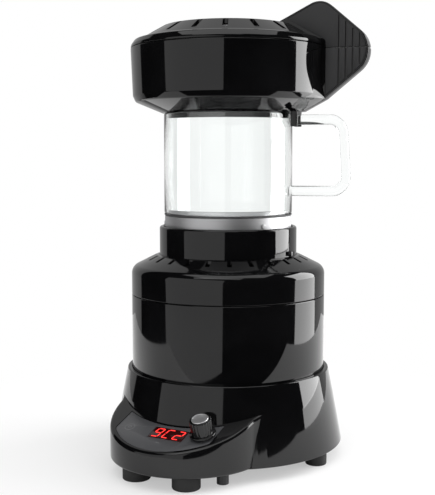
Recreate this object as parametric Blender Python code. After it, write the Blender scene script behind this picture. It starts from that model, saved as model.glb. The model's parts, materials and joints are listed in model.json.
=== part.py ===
"""Countertop hot-air coffee bean roaster with a glass roasting chamber and a lift-off chaff collector.

The round body stands on the XY plane, +Z is up, the control console faces -Y, and the glass handle
and the fin handle of the chaff collector point to +X. Lengths are metres.
"""

import math

import bpy
import bmesh
from mathutils import Matrix, Vector

# Shared clearances and mesh sizes
GAP = 0.0003
OVERRUN = 0.004
EMBED = 0.0010
MERGE = 0.00001
LARGE_SIDES = 36
MEDIUM_SIDES = 24
SMALL_SIDES = 12
CORNER_STEPS = 3
SMOOTH_ANGLE = math.radians(35)

# Flared base housing
FOOT_HEIGHT = 0.0100
FLARE_FOOT_RADIUS = 0.0834
FLARE_WAIST_RADIUS = 0.0771
FLARE_TOP_RADIUS = 0.0732
FLARE_WAIST_RISE = 0.0340
FLARE_HEIGHT = 0.0530
HOUSING_WALL = 0.0025
LIP_BEVEL = 0.0008
LEDGE_WIDTH = 0.0040

# Control console on the front of the base
CONSOLE_REACH = 0.1100
CONSOLE_RADIUS = 0.0535
SHOULDER_X = 0.0550
SHOULDER_Y = 0.0560
SHOULDER_CORNER_RADIUS = 0.0030
WING_X = 0.0695
WING_Y = 0.0400
WING_LEAN_X = 0.0133
WING_LEAN_Y = 0.0088
CONSOLE_ROOT_X = 0.0500
CONSOLE_ROOT_Y = 0.0320
CONSOLE_BLANK_HEIGHT = 0.0500
CONSOLE_CAVITY_BACK = 0.0500
RIM_FRONT_HEIGHT = 0.0255
CONSOLE_TILT = math.radians(18.8)
PANEL_PLATE = 0.0025
PANEL_RECESS = 0.0010
PANEL_FILM = 0.0005
PANEL_RIM_WIDTH = 0.0032
PANEL_BACK_RADIUS = 0.0797
PANEL_SIDE_X = 0.0370
PANEL_CORNER_RADIUS = 0.0040

# Display and control board, in the tilted frame of the panel
DISPLAY_X = 0.0040
DISPLAY_Y = 0.0880
WINDOW_WIDTH = 0.0256
WINDOW_DEPTH = 0.0115
DISPLAY_WIDTH = 0.0290
DISPLAY_DEPTH = 0.0150
DISPLAY_HEIGHT = 0.0065
BOARD_WIDTH = 0.0720
BOARD_FRONT = 0.0110
BOARD_BACK = 0.0120
BOARD_CUT_X = 0.0100
BOARD_CUT_Y = 0.0090
BOARD_THICKNESS = 0.0016
BOARD_POST_RADIUS = 0.0025
BOARD_POST_X = 0.0275
BOARD_POST_Y = 0.0065
BOARD_SCREW_RADIUS = 0.0010
SCREW_HEAD_RADIUS = 0.0020
SCREW_HEAD_HEIGHT = 0.0012

# Push encoder and knob
KNOB_X = 0.0285
KNOB_Y = 0.0845
KNOB_RADIUS = 0.0073
KNOB_FLUTE_DEPTH = 0.0005
KNOB_FLUTES = 18
KNOB_HEIGHT = 0.0113
KNOB_SKIRT_RADIUS = 0.0088
KNOB_SKIRT_HEIGHT = 0.0015
KNOB_STANDOFF = 0.0014
KNOB_CAP_RADIUS = 0.0056
KNOB_CAP_HEIGHT = 0.0012
KNOB_BORE_DEPTH = 0.0085
PRESS_TRAVEL = 0.0008
PRESS_MARGIN = 0.0003
SHAFT_STEM_RADIUS = 0.0020
SHAFT_RADIUS = 0.0030
PLUNGER_WALL = 0.0012
ENCODER_SIDE = 0.0120
ENCODER_HEIGHT = 0.0058
ENCODER_FLOOR = 0.0006
BUSH_WALL = 0.0008

# Base plate, feet and power electronics
PLATE_THICKNESS = 0.0025
INTAKE_SLOTS = 9
INTAKE_WIDTH = 0.0030
INTAKE_PITCH = 0.0060
INTAKE_RADIUS = 0.0300
FRONT_FOOT_X = 0.0195
FRONT_FOOT_Y = 0.0910
FRONT_FOOT_RADIUS = 0.0095
STUD_X = 0.0375
STUD_Y = 0.0745
STUD_RADIUS = 0.0040
STUD_LIFT = 0.0012
SIDE_FOOT_X = 0.0725
SIDE_FOOT_Y = 0.0030
REAR_FOOT_X = 0.0420
REAR_FOOT_Y = 0.0600
FOOT_RADIUS = 0.0075
FOOT_BEVEL = 0.0010
BASE_SCREW_CIRCLE = 0.0735
BASE_SCREW_ANGLE = 38.0
BASE_BOSS_RADIUS = 0.0040
BASE_BOSS_HEIGHT = 0.0320
BASE_SCREW_RADIUS = 0.0015
BASE_SCREW_LENGTH = 0.0120
POWER_BOARD_LENGTH = 0.0600
POWER_BOARD_WIDTH = 0.0300
POWER_BOARD_Y = 0.0480
POWER_POST_HEIGHT = 0.0070
POWER_POST_INSET = 0.0040
RELAY_LENGTH = 0.0190
RELAY_WIDTH = 0.0155
RELAY_HEIGHT = 0.0150
CAPACITOR_RADIUS = 0.0065
CAPACITOR_HEIGHT = 0.0180
HEAT_SINK_LENGTH = 0.0160
HEAT_SINK_WIDTH = 0.0180
HEAT_SINK_HEIGHT = 0.0160
HEAT_SINK_FINS = 5
HEAT_SINK_FIN = 0.0012
HEAT_SINK_BASE = 0.0030
GLAND_RADIUS = 0.0052
GLAND_FLANGE_RADIUS = 0.0075
GLAND_FLANGE = 0.0020
GLAND_BORE = 0.0032
GLAND_RISE = 0.0150
GLAND_LENGTH = 0.0092

# Body shell and rounded upper housing
BODY_RADIUS = 0.0700
BODY_WALL = 0.0025
SOCKET_DEPTH = 0.0060
BODY_RISE = 0.0530
SEAM_BEVEL = 0.0006
SPIGOT_DEPTH = 0.0060
SPIGOT_WALL = 0.0018
SHOULDER_RISE = 0.0130
SHOULDER_RADIUS = 0.0085
SHOULDER_SWEEP = 65
FILLET_RADIUS = 0.0575
FILLET_RISE = 0.0240
COLLAR_FOOT_RISE = 0.0290
VENT_COUNT = 24
VENT_WIDTH = 0.0035
VENT_INNER = 0.0515
VENT_OUTER = 0.0588

# Chamber collar, hot-air seat and chamber ring
COLLAR_RADIUS = 0.0497
COLLAR_WALL = 0.0027
COLLAR_RISE = 0.0202
COLLAR_ROUND = 0.0018
COLLAR_FLANGE_RADIUS = 0.0545
COLLAR_FLANGE = 0.0020
COLLAR_LEDGE_RISE = 0.0050
COLLAR_LEDGE_WIDTH = 0.0040
COLLAR_LEDGE = 0.0025
LUG_REACH = 0.0026
LUG_WIDTH = 0.0060
LUG_HEIGHT = 0.0034
SEAT_PLATE = 0.0024
SEAT_WALL = 0.0015
SEAT_SKIRT_DROP = 0.0095
SEAT_MOUTH_RADIUS = 0.0406
RING_RADIUS = 0.0458
RING_WALL = 0.0022
RING_REVEAL = 0.0078
RING_LIP_HEIGHT = 0.0045
RING_LIP_WALL = 0.0020
RING_SHELF_DROP = 0.0033
RING_SHELF = 0.0030
RING_SHELF_WIDTH = 0.0040
AIR_SCREEN = 0.0010
AIR_SLOTS = 16
AIR_SLOT_WIDTH = 0.0018
AIR_SLOT_INNER = 0.0090
AIR_SLOT_OUTER = 0.0360
PIP_COUNT = 3
PIP_FIRST_ANGLE = -40
PIP_DROP = 0.0060
PIP_RADIUS = 0.0017
PIP_REACH = 0.0005

# Glass chamber, turned with all that stands on it from straight across the console
HANDLE_TURN = math.radians(11)
GASKET = 0.0007
GLASS_RADIUS = 0.0462
GLASS_WALL = 0.0022
GLASS_HEIGHT = 0.0714
GLASS_FOOT_ROUND = 0.0012
HANDLE_ROD_RADIUS = 0.0036
GLASS_HANDLE_REACH = 0.0894
GLASS_HANDLE_CORNER = 0.0100
GLASS_HANDLE_LEAN = 0.0020
UPPER_BAR_DROP = 0.0050
LOWER_BAR_RISE = 0.0165

# Blower and heater
BLOWER_SEAT_RISE = 0.0177
BLOWER_FLOOR = 0.0025
EYE_RADIUS = 0.0380
SPIDER_HUB_RADIUS = 0.0220
SPIDER_ARM_WIDTH = 0.0080
MOTOR_RADIUS = 0.0250
MOTOR_LENGTH = 0.0454
MOTOR_BEVEL = 0.0020
MOTOR_BOSS_RADIUS = 0.0080
MOTOR_BOSS = 0.0040
MOTOR_SHAFT_RADIUS = 0.0025
MOTOR_SCREW_CIRCLE = 0.0150
MOTOR_SCREW_RADIUS = 0.0012
MOTOR_SCREW_DEPTH = 0.0050
IMPELLER_RADIUS = 0.0460
IMPELLER_LIFT = 0.0035
IMPELLER_BLADE_HEIGHT = 0.0155
IMPELLER_PLATE = 0.0015
IMPELLER_HUB_RADIUS = 0.0060
IMPELLER_BLADES = 9
IMPELLER_BLADE_INNER = 0.0200
IMPELLER_BLADE_THICKNESS = 0.0012
IMPELLER_BLADE_RAKE = 35
IMPELLER_HEADROOM = 0.0035
BLOWER_CASE_RADIUS = 0.0520
BLOWER_CASE_WALL = 0.0020
BLOWER_FLANGE_WIDTH = 0.0060
CAN_RADIUS = 0.0340
CAN_WALL = 0.0008
CAN_SPIGOT_HEIGHT = 0.0030
CAN_SPIGOT_WALL = 0.0015
CAN_OVERLAP = 0.0055
FORMER_THICKNESS = 0.0008
FORMER_HEIGHT = 0.0312
FORMER_END = 0.0030
FORMER_WAIST = 0.0270
COIL_WIRE_RADIUS = 0.0008
COIL_TURNS = 6
COIL_TURN_POINTS = 12
CUTOFF_RADIUS = 0.0060
CUTOFF_THICKNESS = 0.0040
CUTOFF_RISE = 0.0180
SENSOR_RADIUS = 0.0016
SENSOR_LENGTH = 0.0115

# Chaff collector and lid
COLLECTOR_WALL = 0.0022
COLLECTOR_SPIGOT = 0.0030
CONE_FOOT_RADIUS = 0.0475
CONE_RADIUS = 0.0664
CONE_RISE = 0.0077
BAND_FOOT_RADIUS = 0.0683
BAND_FOOT_RISE = 0.0119
BAND_TOP_RADIUS = 0.0697
BAND_TOP_RISE = 0.0453
LID_SHOULDER_RADIUS = 0.0619
LID_SHOULDER_RISE = 0.0068
LID_CORNER = 0.0028
LID_TOP_RADIUS = 0.0465
LID_TOP_RISE = 0.0155
LID_TOP_ROUND = 0.0012
LID_SPIGOT_DEPTH = 0.0030
LID_SPIGOT_WALL = 0.0018
LID_SLOTS = 17
LID_SLOT_WIDTH = 0.0037
LID_SLOT_INNER = 0.0468
LID_SLOT_OUTER = 0.0585
RISER_FLANGE_RADIUS = 0.0460
RISER_RADIUS = 0.0315
RISER_WALL = 0.0015
RISER_CONE_RISE = 0.0140
RISER_HEIGHT = 0.0345
SCREEN_THICKNESS = 0.0010
SCREEN_SLACK = 0.0005
SCREEN_WINDOWS = 12
SCREEN_WINDOW_WIDTH = 0.0080
SCREEN_RIM = 0.0020
DEFLECTOR_RADIUS = 0.0340
DEFLECTOR_WALL = 0.0015
DEFLECTOR_DROP = 0.0100
DEFLECTOR_SLOPE = 0.0040
DEFLECTOR_POST_RADIUS = 0.0050

# Saddle on the collector that straddles the glass handle
SADDLE_INNER = 0.0478
SADDLE_OUTER = 0.0527
SADDLE_HALF_WIDTH = 0.0072
SADDLE_DROP = 0.0100
SADDLE_CLEARANCE = 0.0004
SADDLE_ROOF_CLEARANCE = 0.0005

# Fin handle, half on the lid and half on the collector
FIN_THICKNESS = 0.0115
FIN_ROOT_RADIUS = 0.0365
FIN_ROOT_RISE = 0.0161
FIN_PEAK_RADIUS = 0.0691
FIN_PEAK_RISE = 0.0323
FIN_PEAK_ROUND = 0.0130
FIN_NOSE_RADIUS = 0.1117
FIN_NOSE_DROP = 0.0042
FIN_NOSE_ROUND = 0.0178
FIN_HEEL_RADIUS = 0.0720
FIN_HEEL_RISE = 0.0089
PAD_DEPTH = 0.0010
PAD_PROUD = 0.0003
PAD_RIM = 0.0013
PAD_INNER_RADIUS = 0.0718
PAD_CORNER = 0.0030
PAD_LID_MARGIN = 0.0016
GROOVE_FIRST_RADIUS = 0.0805
GROOVE_PITCH = 0.0048
GROOVE_COUNT = 4
GROOVE_WIDTH = 0.0014
GROOVE_DEPTH = 0.0006
FAIRING_HALF_WIDTH = 0.0200
FAIRING_TOP_HALF_WIDTH = 0.0075
FAIRING_RISE = 0.0170
FAIRING_FOOT_RISE = 0.0004
FAIRING_FOOT_RADIUS = 0.0558
FAIRING_INNER_RADIUS = 0.0656

# Internal leads
LEAD_RADIUS = 0.0011
LEAD_STANDOFF = 0.0040
LEAD_ANGLE = 60

# Heights that follow from the sizes above
HOUSING_TOP = FOOT_HEIGHT + FLARE_HEIGHT
BODY_FOOT = HOUSING_TOP - SOCKET_DEPTH
SEAM = HOUSING_TOP + BODY_RISE
COLLAR_FOOT = SEAM + COLLAR_FOOT_RISE
COLLAR_TOP = COLLAR_FOOT + COLLAR_RISE
COLLAR_BORE = COLLAR_RADIUS - COLLAR_WALL
COLLAR_LEDGE_TOP = COLLAR_FOOT + COLLAR_LEDGE_RISE
SEAT_BOTTOM = COLLAR_LEDGE_TOP + GAP
SEAT_TOP = SEAT_BOTTOM + SEAT_PLATE
RING_BOTTOM = SEAT_TOP + GAP
RING_TOP = COLLAR_TOP + RING_REVEAL
GASKET_BOTTOM = RING_TOP + GAP
GLASS_BOTTOM = GASKET_BOTTOM + GASKET + GAP
GLASS_TOP = GLASS_BOTTOM + GLASS_HEIGHT
GLASS_BORE = GLASS_RADIUS - GLASS_WALL
UPPER_BAR = GLASS_TOP - UPPER_BAR_DROP
LOWER_BAR = GLASS_BOTTOM + LOWER_BAR_RISE
COLLECTOR_FOOT = GLASS_TOP + GAP
THROAT_RADIUS = GLASS_BORE - GAP - RING_LIP_WALL
LID_SEAM = COLLECTOR_FOOT + BAND_TOP_RISE
LID_TOP = LID_SEAM + LID_TOP_RISE
BLOWER_SEAT = BODY_FOOT + BLOWER_SEAT_RISE
FLOOR_BOTTOM = BLOWER_SEAT + GAP
FLOOR_TOP = FLOOR_BOTTOM + BLOWER_FLOOR
MOTOR_TOP = FLOOR_BOTTOM - GAP
MOTOR_BOTTOM = MOTOR_TOP - MOTOR_LENGTH
IMPELLER_BOTTOM = FLOOR_TOP + IMPELLER_LIFT
IMPELLER_TOP = IMPELLER_BOTTOM + IMPELLER_BLADE_HEIGHT + IMPELLER_PLATE
ROOF_TOP = IMPELLER_TOP + IMPELLER_HEADROOM + BLOWER_CASE_WALL
CAN_BORE = CAN_RADIUS - CAN_WALL
CAN_BOTTOM = ROOF_TOP + GAP
CAN_TOP = SEAT_BOTTOM - SEAT_SKIRT_DROP + CAN_OVERLAP
FORMER_BOTTOM = ROOF_TOP + CAN_SPIGOT_HEIGHT + GAP
FORMER_TOP = FORMER_BOTTOM + FORMER_HEIGHT
PLATE_TOP = FOOT_HEIGHT + PLATE_THICKNESS
POWER_BOARD_BOTTOM = PLATE_TOP + POWER_POST_HEIGHT + GAP
POWER_BOARD_TOP = POWER_BOARD_BOTTOM + BOARD_THICKNESS

# Depths below the rim plane, in the tilted frame of the panel
FILM_BOTTOM = GAP - PANEL_RECESS
FILM_TOP = FILM_BOTTOM + PANEL_FILM
PLATE_UNDER = -PANEL_RECESS - PANEL_PLATE
DISPLAY_TOP = PLATE_UNDER - GAP
BOARD_TOP = DISPLAY_TOP - DISPLAY_HEIGHT - GAP
BOARD_BOTTOM = BOARD_TOP - BOARD_THICKNESS
PLUNGER_BORE = SHAFT_STEM_RADIUS + GAP
PLUNGER_RADIUS = PLUNGER_BORE + PLUNGER_WALL
BUSH_BORE = PLUNGER_RADIUS + GAP
BUSH_RADIUS = BUSH_BORE + BUSH_WALL

MATERIALS = {
    "gloss_black": ((0.012, 0.012, 0.013), 0.08, 0.0),
    "matte_black": ((0.030, 0.030, 0.031), 0.55, 0.0),
    "pad_grey": ((0.045, 0.045, 0.047), 0.50, 0.0),
    "film_grey": ((0.050, 0.050, 0.053), 0.35, 0.0),
    "rubber_black": ((0.020, 0.020, 0.020), 0.80, 0.0),
    "aluminium": ((0.78, 0.78, 0.80), 0.30, 1.0),
    "steel": ((0.62, 0.62, 0.63), 0.35, 1.0),
    "chrome": ((0.85, 0.85, 0.86), 0.08, 1.0),
    "brass": ((0.80, 0.62, 0.30), 0.30, 1.0),
    "mica": ((0.62, 0.55, 0.42), 0.60, 0.0),
    "coil_wire": ((0.40, 0.36, 0.34), 0.40, 1.0),
    "silicone": ((0.060, 0.060, 0.062), 0.60, 0.0),
    "clear_glass": ((0.90, 0.95, 0.95), 0.02, 0.0),
    "red_window": ((0.20, 0.010, 0.008), 0.10, 0.0),
    "board_green": ((0.030, 0.160, 0.080), 0.50, 0.0),
    "relay_blue": ((0.050, 0.120, 0.400), 0.40, 0.0),
    "lead_sleeve": ((0.70, 0.68, 0.62), 0.70, 0.0),
    "nylon": ((0.72, 0.71, 0.66), 0.45, 0.0),
}


def clear_scene():
    for thing in list(bpy.data.objects):
        bpy.data.objects.remove(thing, do_unlink=True)


def make_material(name):
    if name in bpy.data.materials:
        return bpy.data.materials[name]
    colour, roughness, metallic = MATERIALS[name]
    material = bpy.data.materials.new(name)
    material.use_nodes = True
    shader = material.node_tree.nodes["Principled BSDF"]
    shader.inputs["Base Color"].default_value = (*colour, 1)
    shader.inputs["Roughness"].default_value = roughness
    shader.inputs["Metallic"].default_value = metallic
    if name == "clear_glass":
        shader.inputs["Transmission Weight"].default_value = 1
    return material


def make_empty(name, parent=None, location=(0, 0, 0), tilt=0, turn=0):
    empty = bpy.data.objects.new(name, None)
    empty.location = location
    empty.rotation_euler = (tilt, 0, turn)
    empty.parent = parent
    bpy.context.scene.collection.objects.link(empty)
    return empty


def polar(radius, degrees):
    angle = math.radians(degrees)
    return radius * math.cos(angle), radius * math.sin(angle)


def arc(centre_x, centre_y, radius, start, end, steps):
    """Points of an arc from start to end degrees."""
    points = []
    for step in range(steps + 1):
        x, y = polar(radius, start + (end - start) * step / steps)
        points.append((centre_x + x, centre_y + y))
    return points


def rounded(corners, steps=CORNER_STEPS):
    """Outline through (x, y, radius) corners, each rounded by an arc."""
    points = []
    for index, (x, y, radius) in enumerate(corners):
        here = Vector((x, y))
        if radius == 0:
            points.append((x, y))
            continue
        before = (Vector(corners[index - 1][:2]) - here).normalized()
        after = (Vector(corners[(index + 1) % len(corners)][:2]) - here).normalized()
        half = before.angle(after) / 2
        centre = here + (before + after).normalized() * radius / math.sin(half)
        start = here + before * radius / math.tan(half) - centre
        end = here + after * radius / math.tan(half) - centre
        turn = math.pi - 2 * half
        if start.cross(end) < 0:
            turn = -turn
        for step in range(steps + 1):
            angle = turn * step / steps
            x_part = start.x * math.cos(angle) - start.y * math.sin(angle)
            y_part = start.x * math.sin(angle) + start.y * math.cos(angle)
            points.append((centre.x + x_part, centre.y + y_part))
    return points


def tidy(shape):
    bmesh.ops.remove_doubles(shape, verts=shape.verts, dist=MERGE)
    bmesh.ops.recalc_face_normals(shape, faces=shape.faces)
    return shape


def turned(outline, sides):
    """Solid of revolution about Z from (radius, height) points, closed unless it ends on the axis."""
    shape = bmesh.new()
    points = [shape.verts.new((radius, 0, height)) for radius, height in outline]
    pairs = list(zip(points, points[1:]))
    if outline[0][0] > 0:
        pairs.append((points[-1], points[0]))
    edges = [shape.edges.new(pair) for pair in pairs]
    bmesh.ops.spin(shape, geom=points + edges, cent=(0, 0, 0), axis=(0, 0, 1),
                   angle=2 * math.pi, steps=sides, use_merge=True)
    return tidy(shape)


def prism(outline, bottom, top):
    """Upright prism with a closed (x, y) outline."""
    return loft(outline, outline, bottom, top)


def loft(lower, upper, bottom, top):
    """Solid between two outlines with as many points, at two heights."""
    shape = bmesh.new()
    feet = [shape.verts.new((x, y, bottom)) for x, y in lower]
    heads = [shape.verts.new((x, y, top)) for x, y in upper]
    shape.faces.new(reversed(feet))
    shape.faces.new(heads)
    for index in range(len(feet)):
        following = (index + 1) % len(feet)
        shape.faces.new((feet[index], feet[following], heads[following], heads[index]))
    return tidy(shape)


def box(low, high):
    """Box between two corners."""
    outline = [(low[0], low[1]), (high[0], low[1]), (high[0], high[1]), (low[0], high[1])]
    return prism(outline, low[2], high[2])


def drum(radius, bottom, top, sides=SMALL_SIDES, x=0, y=0):
    """Upright cylinder."""
    return prism(arc(x, y, radius, 0, 360, sides)[:-1], bottom, top)


def moved(shape, matrix):
    bmesh.ops.transform(shape, matrix=matrix, verts=shape.verts)
    return shape


def gathered(shapes):
    """One mesh that holds several separate shapes."""
    whole = bmesh.new()
    for shape in shapes:
        mesh = bpy.data.meshes.new("gathered")
        shape.to_mesh(mesh)
        shape.free()
        whole.from_mesh(mesh)
        bpy.data.meshes.remove(mesh)
    return whole


def spaced(make, count, first=0, pitch=None):
    """Copies of one shape, turned about Z by equal steps in degrees."""
    step = 360 / count if pitch is None else pitch
    copies = []
    for index in range(count):
        turn = math.radians(first + index * step)
        copies.append(moved(make(), Matrix.Rotation(turn, 4, "Z")))
    return gathered(copies)


def solid(name, shape, material, parent):
    mesh = bpy.data.meshes.new(name)
    shape.to_mesh(mesh)
    shape.free()
    mesh.materials.append(make_material(material))
    thing = bpy.data.objects.new(name, mesh)
    thing.parent = parent
    bpy.context.scene.collection.objects.link(thing)
    return thing


def combine(target, operation, shape):
    """Join a shape to an object, or cut it away, in the object's own frame."""
    tool = solid(target.name + "_tool", shape, target.data.materials[0].name, target.parent)
    modifier = target.modifiers.new(operation.title(), "BOOLEAN")
    modifier.operation = operation
    modifier.solver = "EXACT"
    modifier.object = tool
    bpy.context.view_layer.update()
    graph = bpy.context.evaluated_depsgraph_get()
    result = bpy.data.meshes.new_from_object(target.evaluated_get(graph))
    target.modifiers.clear()
    former, used = target.data, tool.data
    target.data = result
    bpy.data.objects.remove(tool, do_unlink=True)
    bpy.data.meshes.remove(former)
    bpy.data.meshes.remove(used)
    result.name = target.name


def join(target, shape):
    combine(target, "UNION", shape)


def cut(target, shape):
    combine(target, "DIFFERENCE", shape)


def tube(name, points, radius, material, parent, roundness=2):
    """Round rod along points, with flat ends."""
    curve = bpy.data.curves.new(name, "CURVE")
    curve.dimensions = "3D"
    curve.bevel_depth = radius
    curve.bevel_resolution = roundness
    curve.use_fill_caps = True
    spline = curve.splines.new("POLY")
    spline.points.add(len(points) - 1)
    for point, place in zip(spline.points, points):
        point.co = (*place, 1)
    curve.materials.append(make_material(material))
    thing = bpy.data.objects.new(name, curve)
    thing.parent = parent
    bpy.context.scene.collection.objects.link(thing)
    return thing


def smooth_route(knots, steps):
    """Points of a smooth curve through the knots."""
    knots = [Vector(knot) for knot in knots]
    padded = [knots[0] * 2 - knots[1], *knots, knots[-1] * 2 - knots[-2]]
    points = []
    for index in range(1, len(padded) - 2):
        p0, p1, p2, p3 = padded[index - 1:index + 3]
        for step in range(steps):
            t = step / steps
            points.append(p1 + (p2 - p0) * t / 2
                          + (p0 * 2 - p1 * 5 + p2 * 4 - p3) * t * t / 2
                          + (p1 * 3 - p0 - p2 * 3 + p3) * t ** 3 / 2)
    points.append(knots[-1])
    return points


def flare_radius(height):
    """Outer radius of the flared housing at a height."""
    waist = FOOT_HEIGHT + FLARE_WAIST_RISE
    if height < waist:
        share = (height - FOOT_HEIGHT) / FLARE_WAIST_RISE
        return FLARE_FOOT_RADIUS + (FLARE_WAIST_RADIUS - FLARE_FOOT_RADIUS) * share
    share = (height - waist) / (HOUSING_TOP - waist)
    return FLARE_WAIST_RADIUS + (FLARE_TOP_RADIUS - FLARE_WAIST_RADIUS) * share


def console_outline(inset=0, lean_x=0, lean_y=0, back=CONSOLE_ROOT_Y):
    """Plan outline of the console, drawn in by an inset, with its wing corners leant inwards."""
    front = arc(0, CONSOLE_RADIUS - CONSOLE_REACH, CONSOLE_RADIUS - inset, -90, -4, 9)
    right = [(x, y, 0) for x, y in front[1:]]
    right.append((SHOULDER_X - inset, -SHOULDER_Y, SHOULDER_CORNER_RADIUS))
    if back > WING_Y:
        right.append((SHOULDER_X - inset, -back, 0))
    else:
        right.append((WING_X - lean_x - inset, -WING_Y - lean_y, 0))
        right.append((CONSOLE_ROOT_X, -back, 0))
    left = [(-x, y, radius) for x, y, radius in reversed(right)]
    return rounded([(*front[0], 0), *right, *left])


def over_rim_plane(panel):
    """Everything above the sloping rim plane, in roaster coordinates."""
    reach = CONSOLE_REACH
    shape = box((-reach, -reach, 0), (reach, reach, reach))
    return moved(shape, panel.matrix_basis)


def panel_point(x, y):
    """Plan place to place in the tilted frame of the panel."""
    return x - DISPLAY_X, (y + DISPLAY_Y) / math.cos(CONSOLE_TILT)


def make_panel_frame(root):
    """Tilted frame on the rim plane, centred on the display."""
    height = RIM_FRONT_HEIGHT + (CONSOLE_REACH - DISPLAY_Y) * math.tan(CONSOLE_TILT)
    return make_empty("panel_frame", root, (DISPLAY_X, -DISPLAY_Y, height), CONSOLE_TILT)


def film_outline(inset=0):
    """Outline of the control panel in the tilted frame: an arc in front, the skirt behind."""
    centre_y = CONSOLE_RADIUS - CONSOLE_REACH
    front_radius = CONSOLE_RADIUS - PANEL_RIM_WIDTH - inset
    back_radius = PANEL_BACK_RADIUS + inset
    side_x = PANEL_SIDE_X - inset
    front_angle = math.degrees(math.acos(side_x / front_radius))
    back_angle = math.degrees(math.acos(side_x / back_radius))
    front = [(x, y, 0) for x, y in arc(0, centre_y, front_radius, front_angle - 180, -front_angle, 10)]
    front[0] = (*front[0][:2], PANEL_CORNER_RADIUS)
    front[-1] = (*front[-1][:2], PANEL_CORNER_RADIUS)
    back = [(x, y, 0) for x, y in arc(0, 0, back_radius, -back_angle, back_angle - 180, 8)]
    return [panel_point(x, y) for x, y in rounded(front + back)]


def base_screw_places():
    places = []
    for side in (BASE_SCREW_ANGLE, 180 - BASE_SCREW_ANGLE, 180 + BASE_SCREW_ANGLE, -BASE_SCREW_ANGLE):
        places.append(polar(BASE_SCREW_CIRCLE, side))
    return places


def base_housing(root, panel):
    """Flared skirt and console as one moulding, with its screw bosses and ledge."""
    waist = FOOT_HEIGHT + FLARE_WAIST_RISE
    ledge_top = BODY_FOOT - GAP
    ledge_under = ledge_top - HOUSING_WALL
    inner = FLARE_FOOT_RADIUS - HOUSING_WALL
    skirt = turned([
        (FLARE_FOOT_RADIUS, FOOT_HEIGHT),
        (FLARE_WAIST_RADIUS, waist),
        (FLARE_TOP_RADIUS, HOUSING_TOP - LIP_BEVEL),
        (FLARE_TOP_RADIUS - LIP_BEVEL, HOUSING_TOP),
        (BODY_RADIUS + GAP, HOUSING_TOP),
        (BODY_RADIUS + GAP, ledge_top),
        (BODY_RADIUS - BODY_WALL - LEDGE_WIDTH, ledge_top),
        (BODY_RADIUS - BODY_WALL - LEDGE_WIDTH, ledge_under),
        (flare_radius(ledge_under) - HOUSING_WALL, ledge_under),
        (FLARE_WAIST_RADIUS - HOUSING_WALL, waist),
        (inner, FOOT_HEIGHT)], LARGE_SIDES)
    middle = EMBED - HOUSING_WALL
    core = turned([
        (0, FOOT_HEIGHT - OVERRUN),
        (FLARE_FOOT_RADIUS + middle, FOOT_HEIGHT - OVERRUN),
        (FLARE_FOOT_RADIUS + middle, FOOT_HEIGHT),
        (FLARE_WAIST_RADIUS + middle, waist),
        (flare_radius(ledge_under) + middle, ledge_under),
        (flare_radius(ledge_under) + middle, HOUSING_TOP),
        (0, HOUSING_TOP)], LARGE_SIDES)
    blank_top = FOOT_HEIGHT + CONSOLE_BLANK_HEIGHT
    blank = loft(console_outline(), console_outline(0, WING_LEAN_X, WING_LEAN_Y), FOOT_HEIGHT, blank_top)
    housing = solid("base_housing", blank, "gloss_black", root)
    cut(housing, over_rim_plane(panel))
    cut(housing, core)
    join(housing, skirt)
    cavity = prism(console_outline(HOUSING_WALL, back=CONSOLE_CAVITY_BACK),
                   FOOT_HEIGHT - OVERRUN, blank_top)
    hollow = solid("console_hollow", cavity, "gloss_black", root)
    plate = over_rim_plane(panel)
    bmesh.ops.translate(plate, vec=panel.matrix_basis.col[2].xyz * PLATE_UNDER, verts=plate.verts)
    cut(hollow, plate)
    hollow_shape = bmesh.new()
    hollow_shape.from_mesh(hollow.data)
    bpy.data.objects.remove(hollow, do_unlink=True)
    cut(housing, hollow_shape)
    boss_top = FOOT_HEIGHT + BASE_BOSS_HEIGHT
    bosses = [drum(BASE_BOSS_RADIUS, PLATE_TOP + GAP, boss_top, SMALL_SIDES, x, y)
              for x, y in base_screw_places()]
    join(housing, gathered(bosses))
    bore = BASE_SCREW_RADIUS + GAP
    screw_end = FOOT_HEIGHT + BASE_SCREW_LENGTH + OVERRUN
    bores = [drum(bore, FOOT_HEIGHT, screw_end, SMALL_SIDES, x, y) for x, y in base_screw_places()]
    cut(housing, gathered(bores))
    panel_cuts(housing, panel)
    gland_hole = drum(GLAND_RADIUS + GAP, 0, FLARE_FOOT_RADIUS + OVERRUN)
    cut(housing, moved(gland_hole, gland_frame()))
    return housing


def board_post_places():
    return [(x - DISPLAY_X, -BOARD_POST_Y) for x in (-BOARD_POST_X, BOARD_POST_X)]


def panel_cuts(housing, panel):
    """Recess, windows and board posts of the console, all square to the sloping panel."""
    frame = panel.matrix_basis
    posts = [drum(BOARD_POST_RADIUS, BOARD_TOP + GAP, PLATE_UNDER + EMBED, SMALL_SIDES, x, y)
             for x, y in board_post_places()]
    join(housing, moved(gathered(posts), frame))
    pilots = [drum(BOARD_SCREW_RADIUS + GAP, BOARD_TOP, PLATE_UNDER, SMALL_SIDES, x, y)
              for x, y in board_post_places()]
    cut(housing, moved(gathered(pilots), frame))
    cut(housing, moved(prism(film_outline(), -PANEL_RECESS, OVERRUN), frame))
    half_x = WINDOW_WIDTH / 2 + GAP
    half_y = WINDOW_DEPTH / 2 + GAP
    window = box((-half_x, -half_y, PLATE_UNDER - OVERRUN), (half_x, half_y, OVERRUN))
    knob_x, knob_y = panel_point(KNOB_X, -KNOB_Y)
    bush = drum(BUSH_RADIUS + GAP, PLATE_UNDER - OVERRUN, OVERRUN, SMALL_SIDES, knob_x, knob_y)
    cut(housing, moved(gathered([window, bush]), frame))


def gland_frame():
    """Frame whose Z runs out through the rear wall at the gland."""
    return Matrix.Translation((0, 0, FOOT_HEIGHT + GLAND_RISE)) @ Matrix.Rotation(math.radians(-90), 4, "X")


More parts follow.
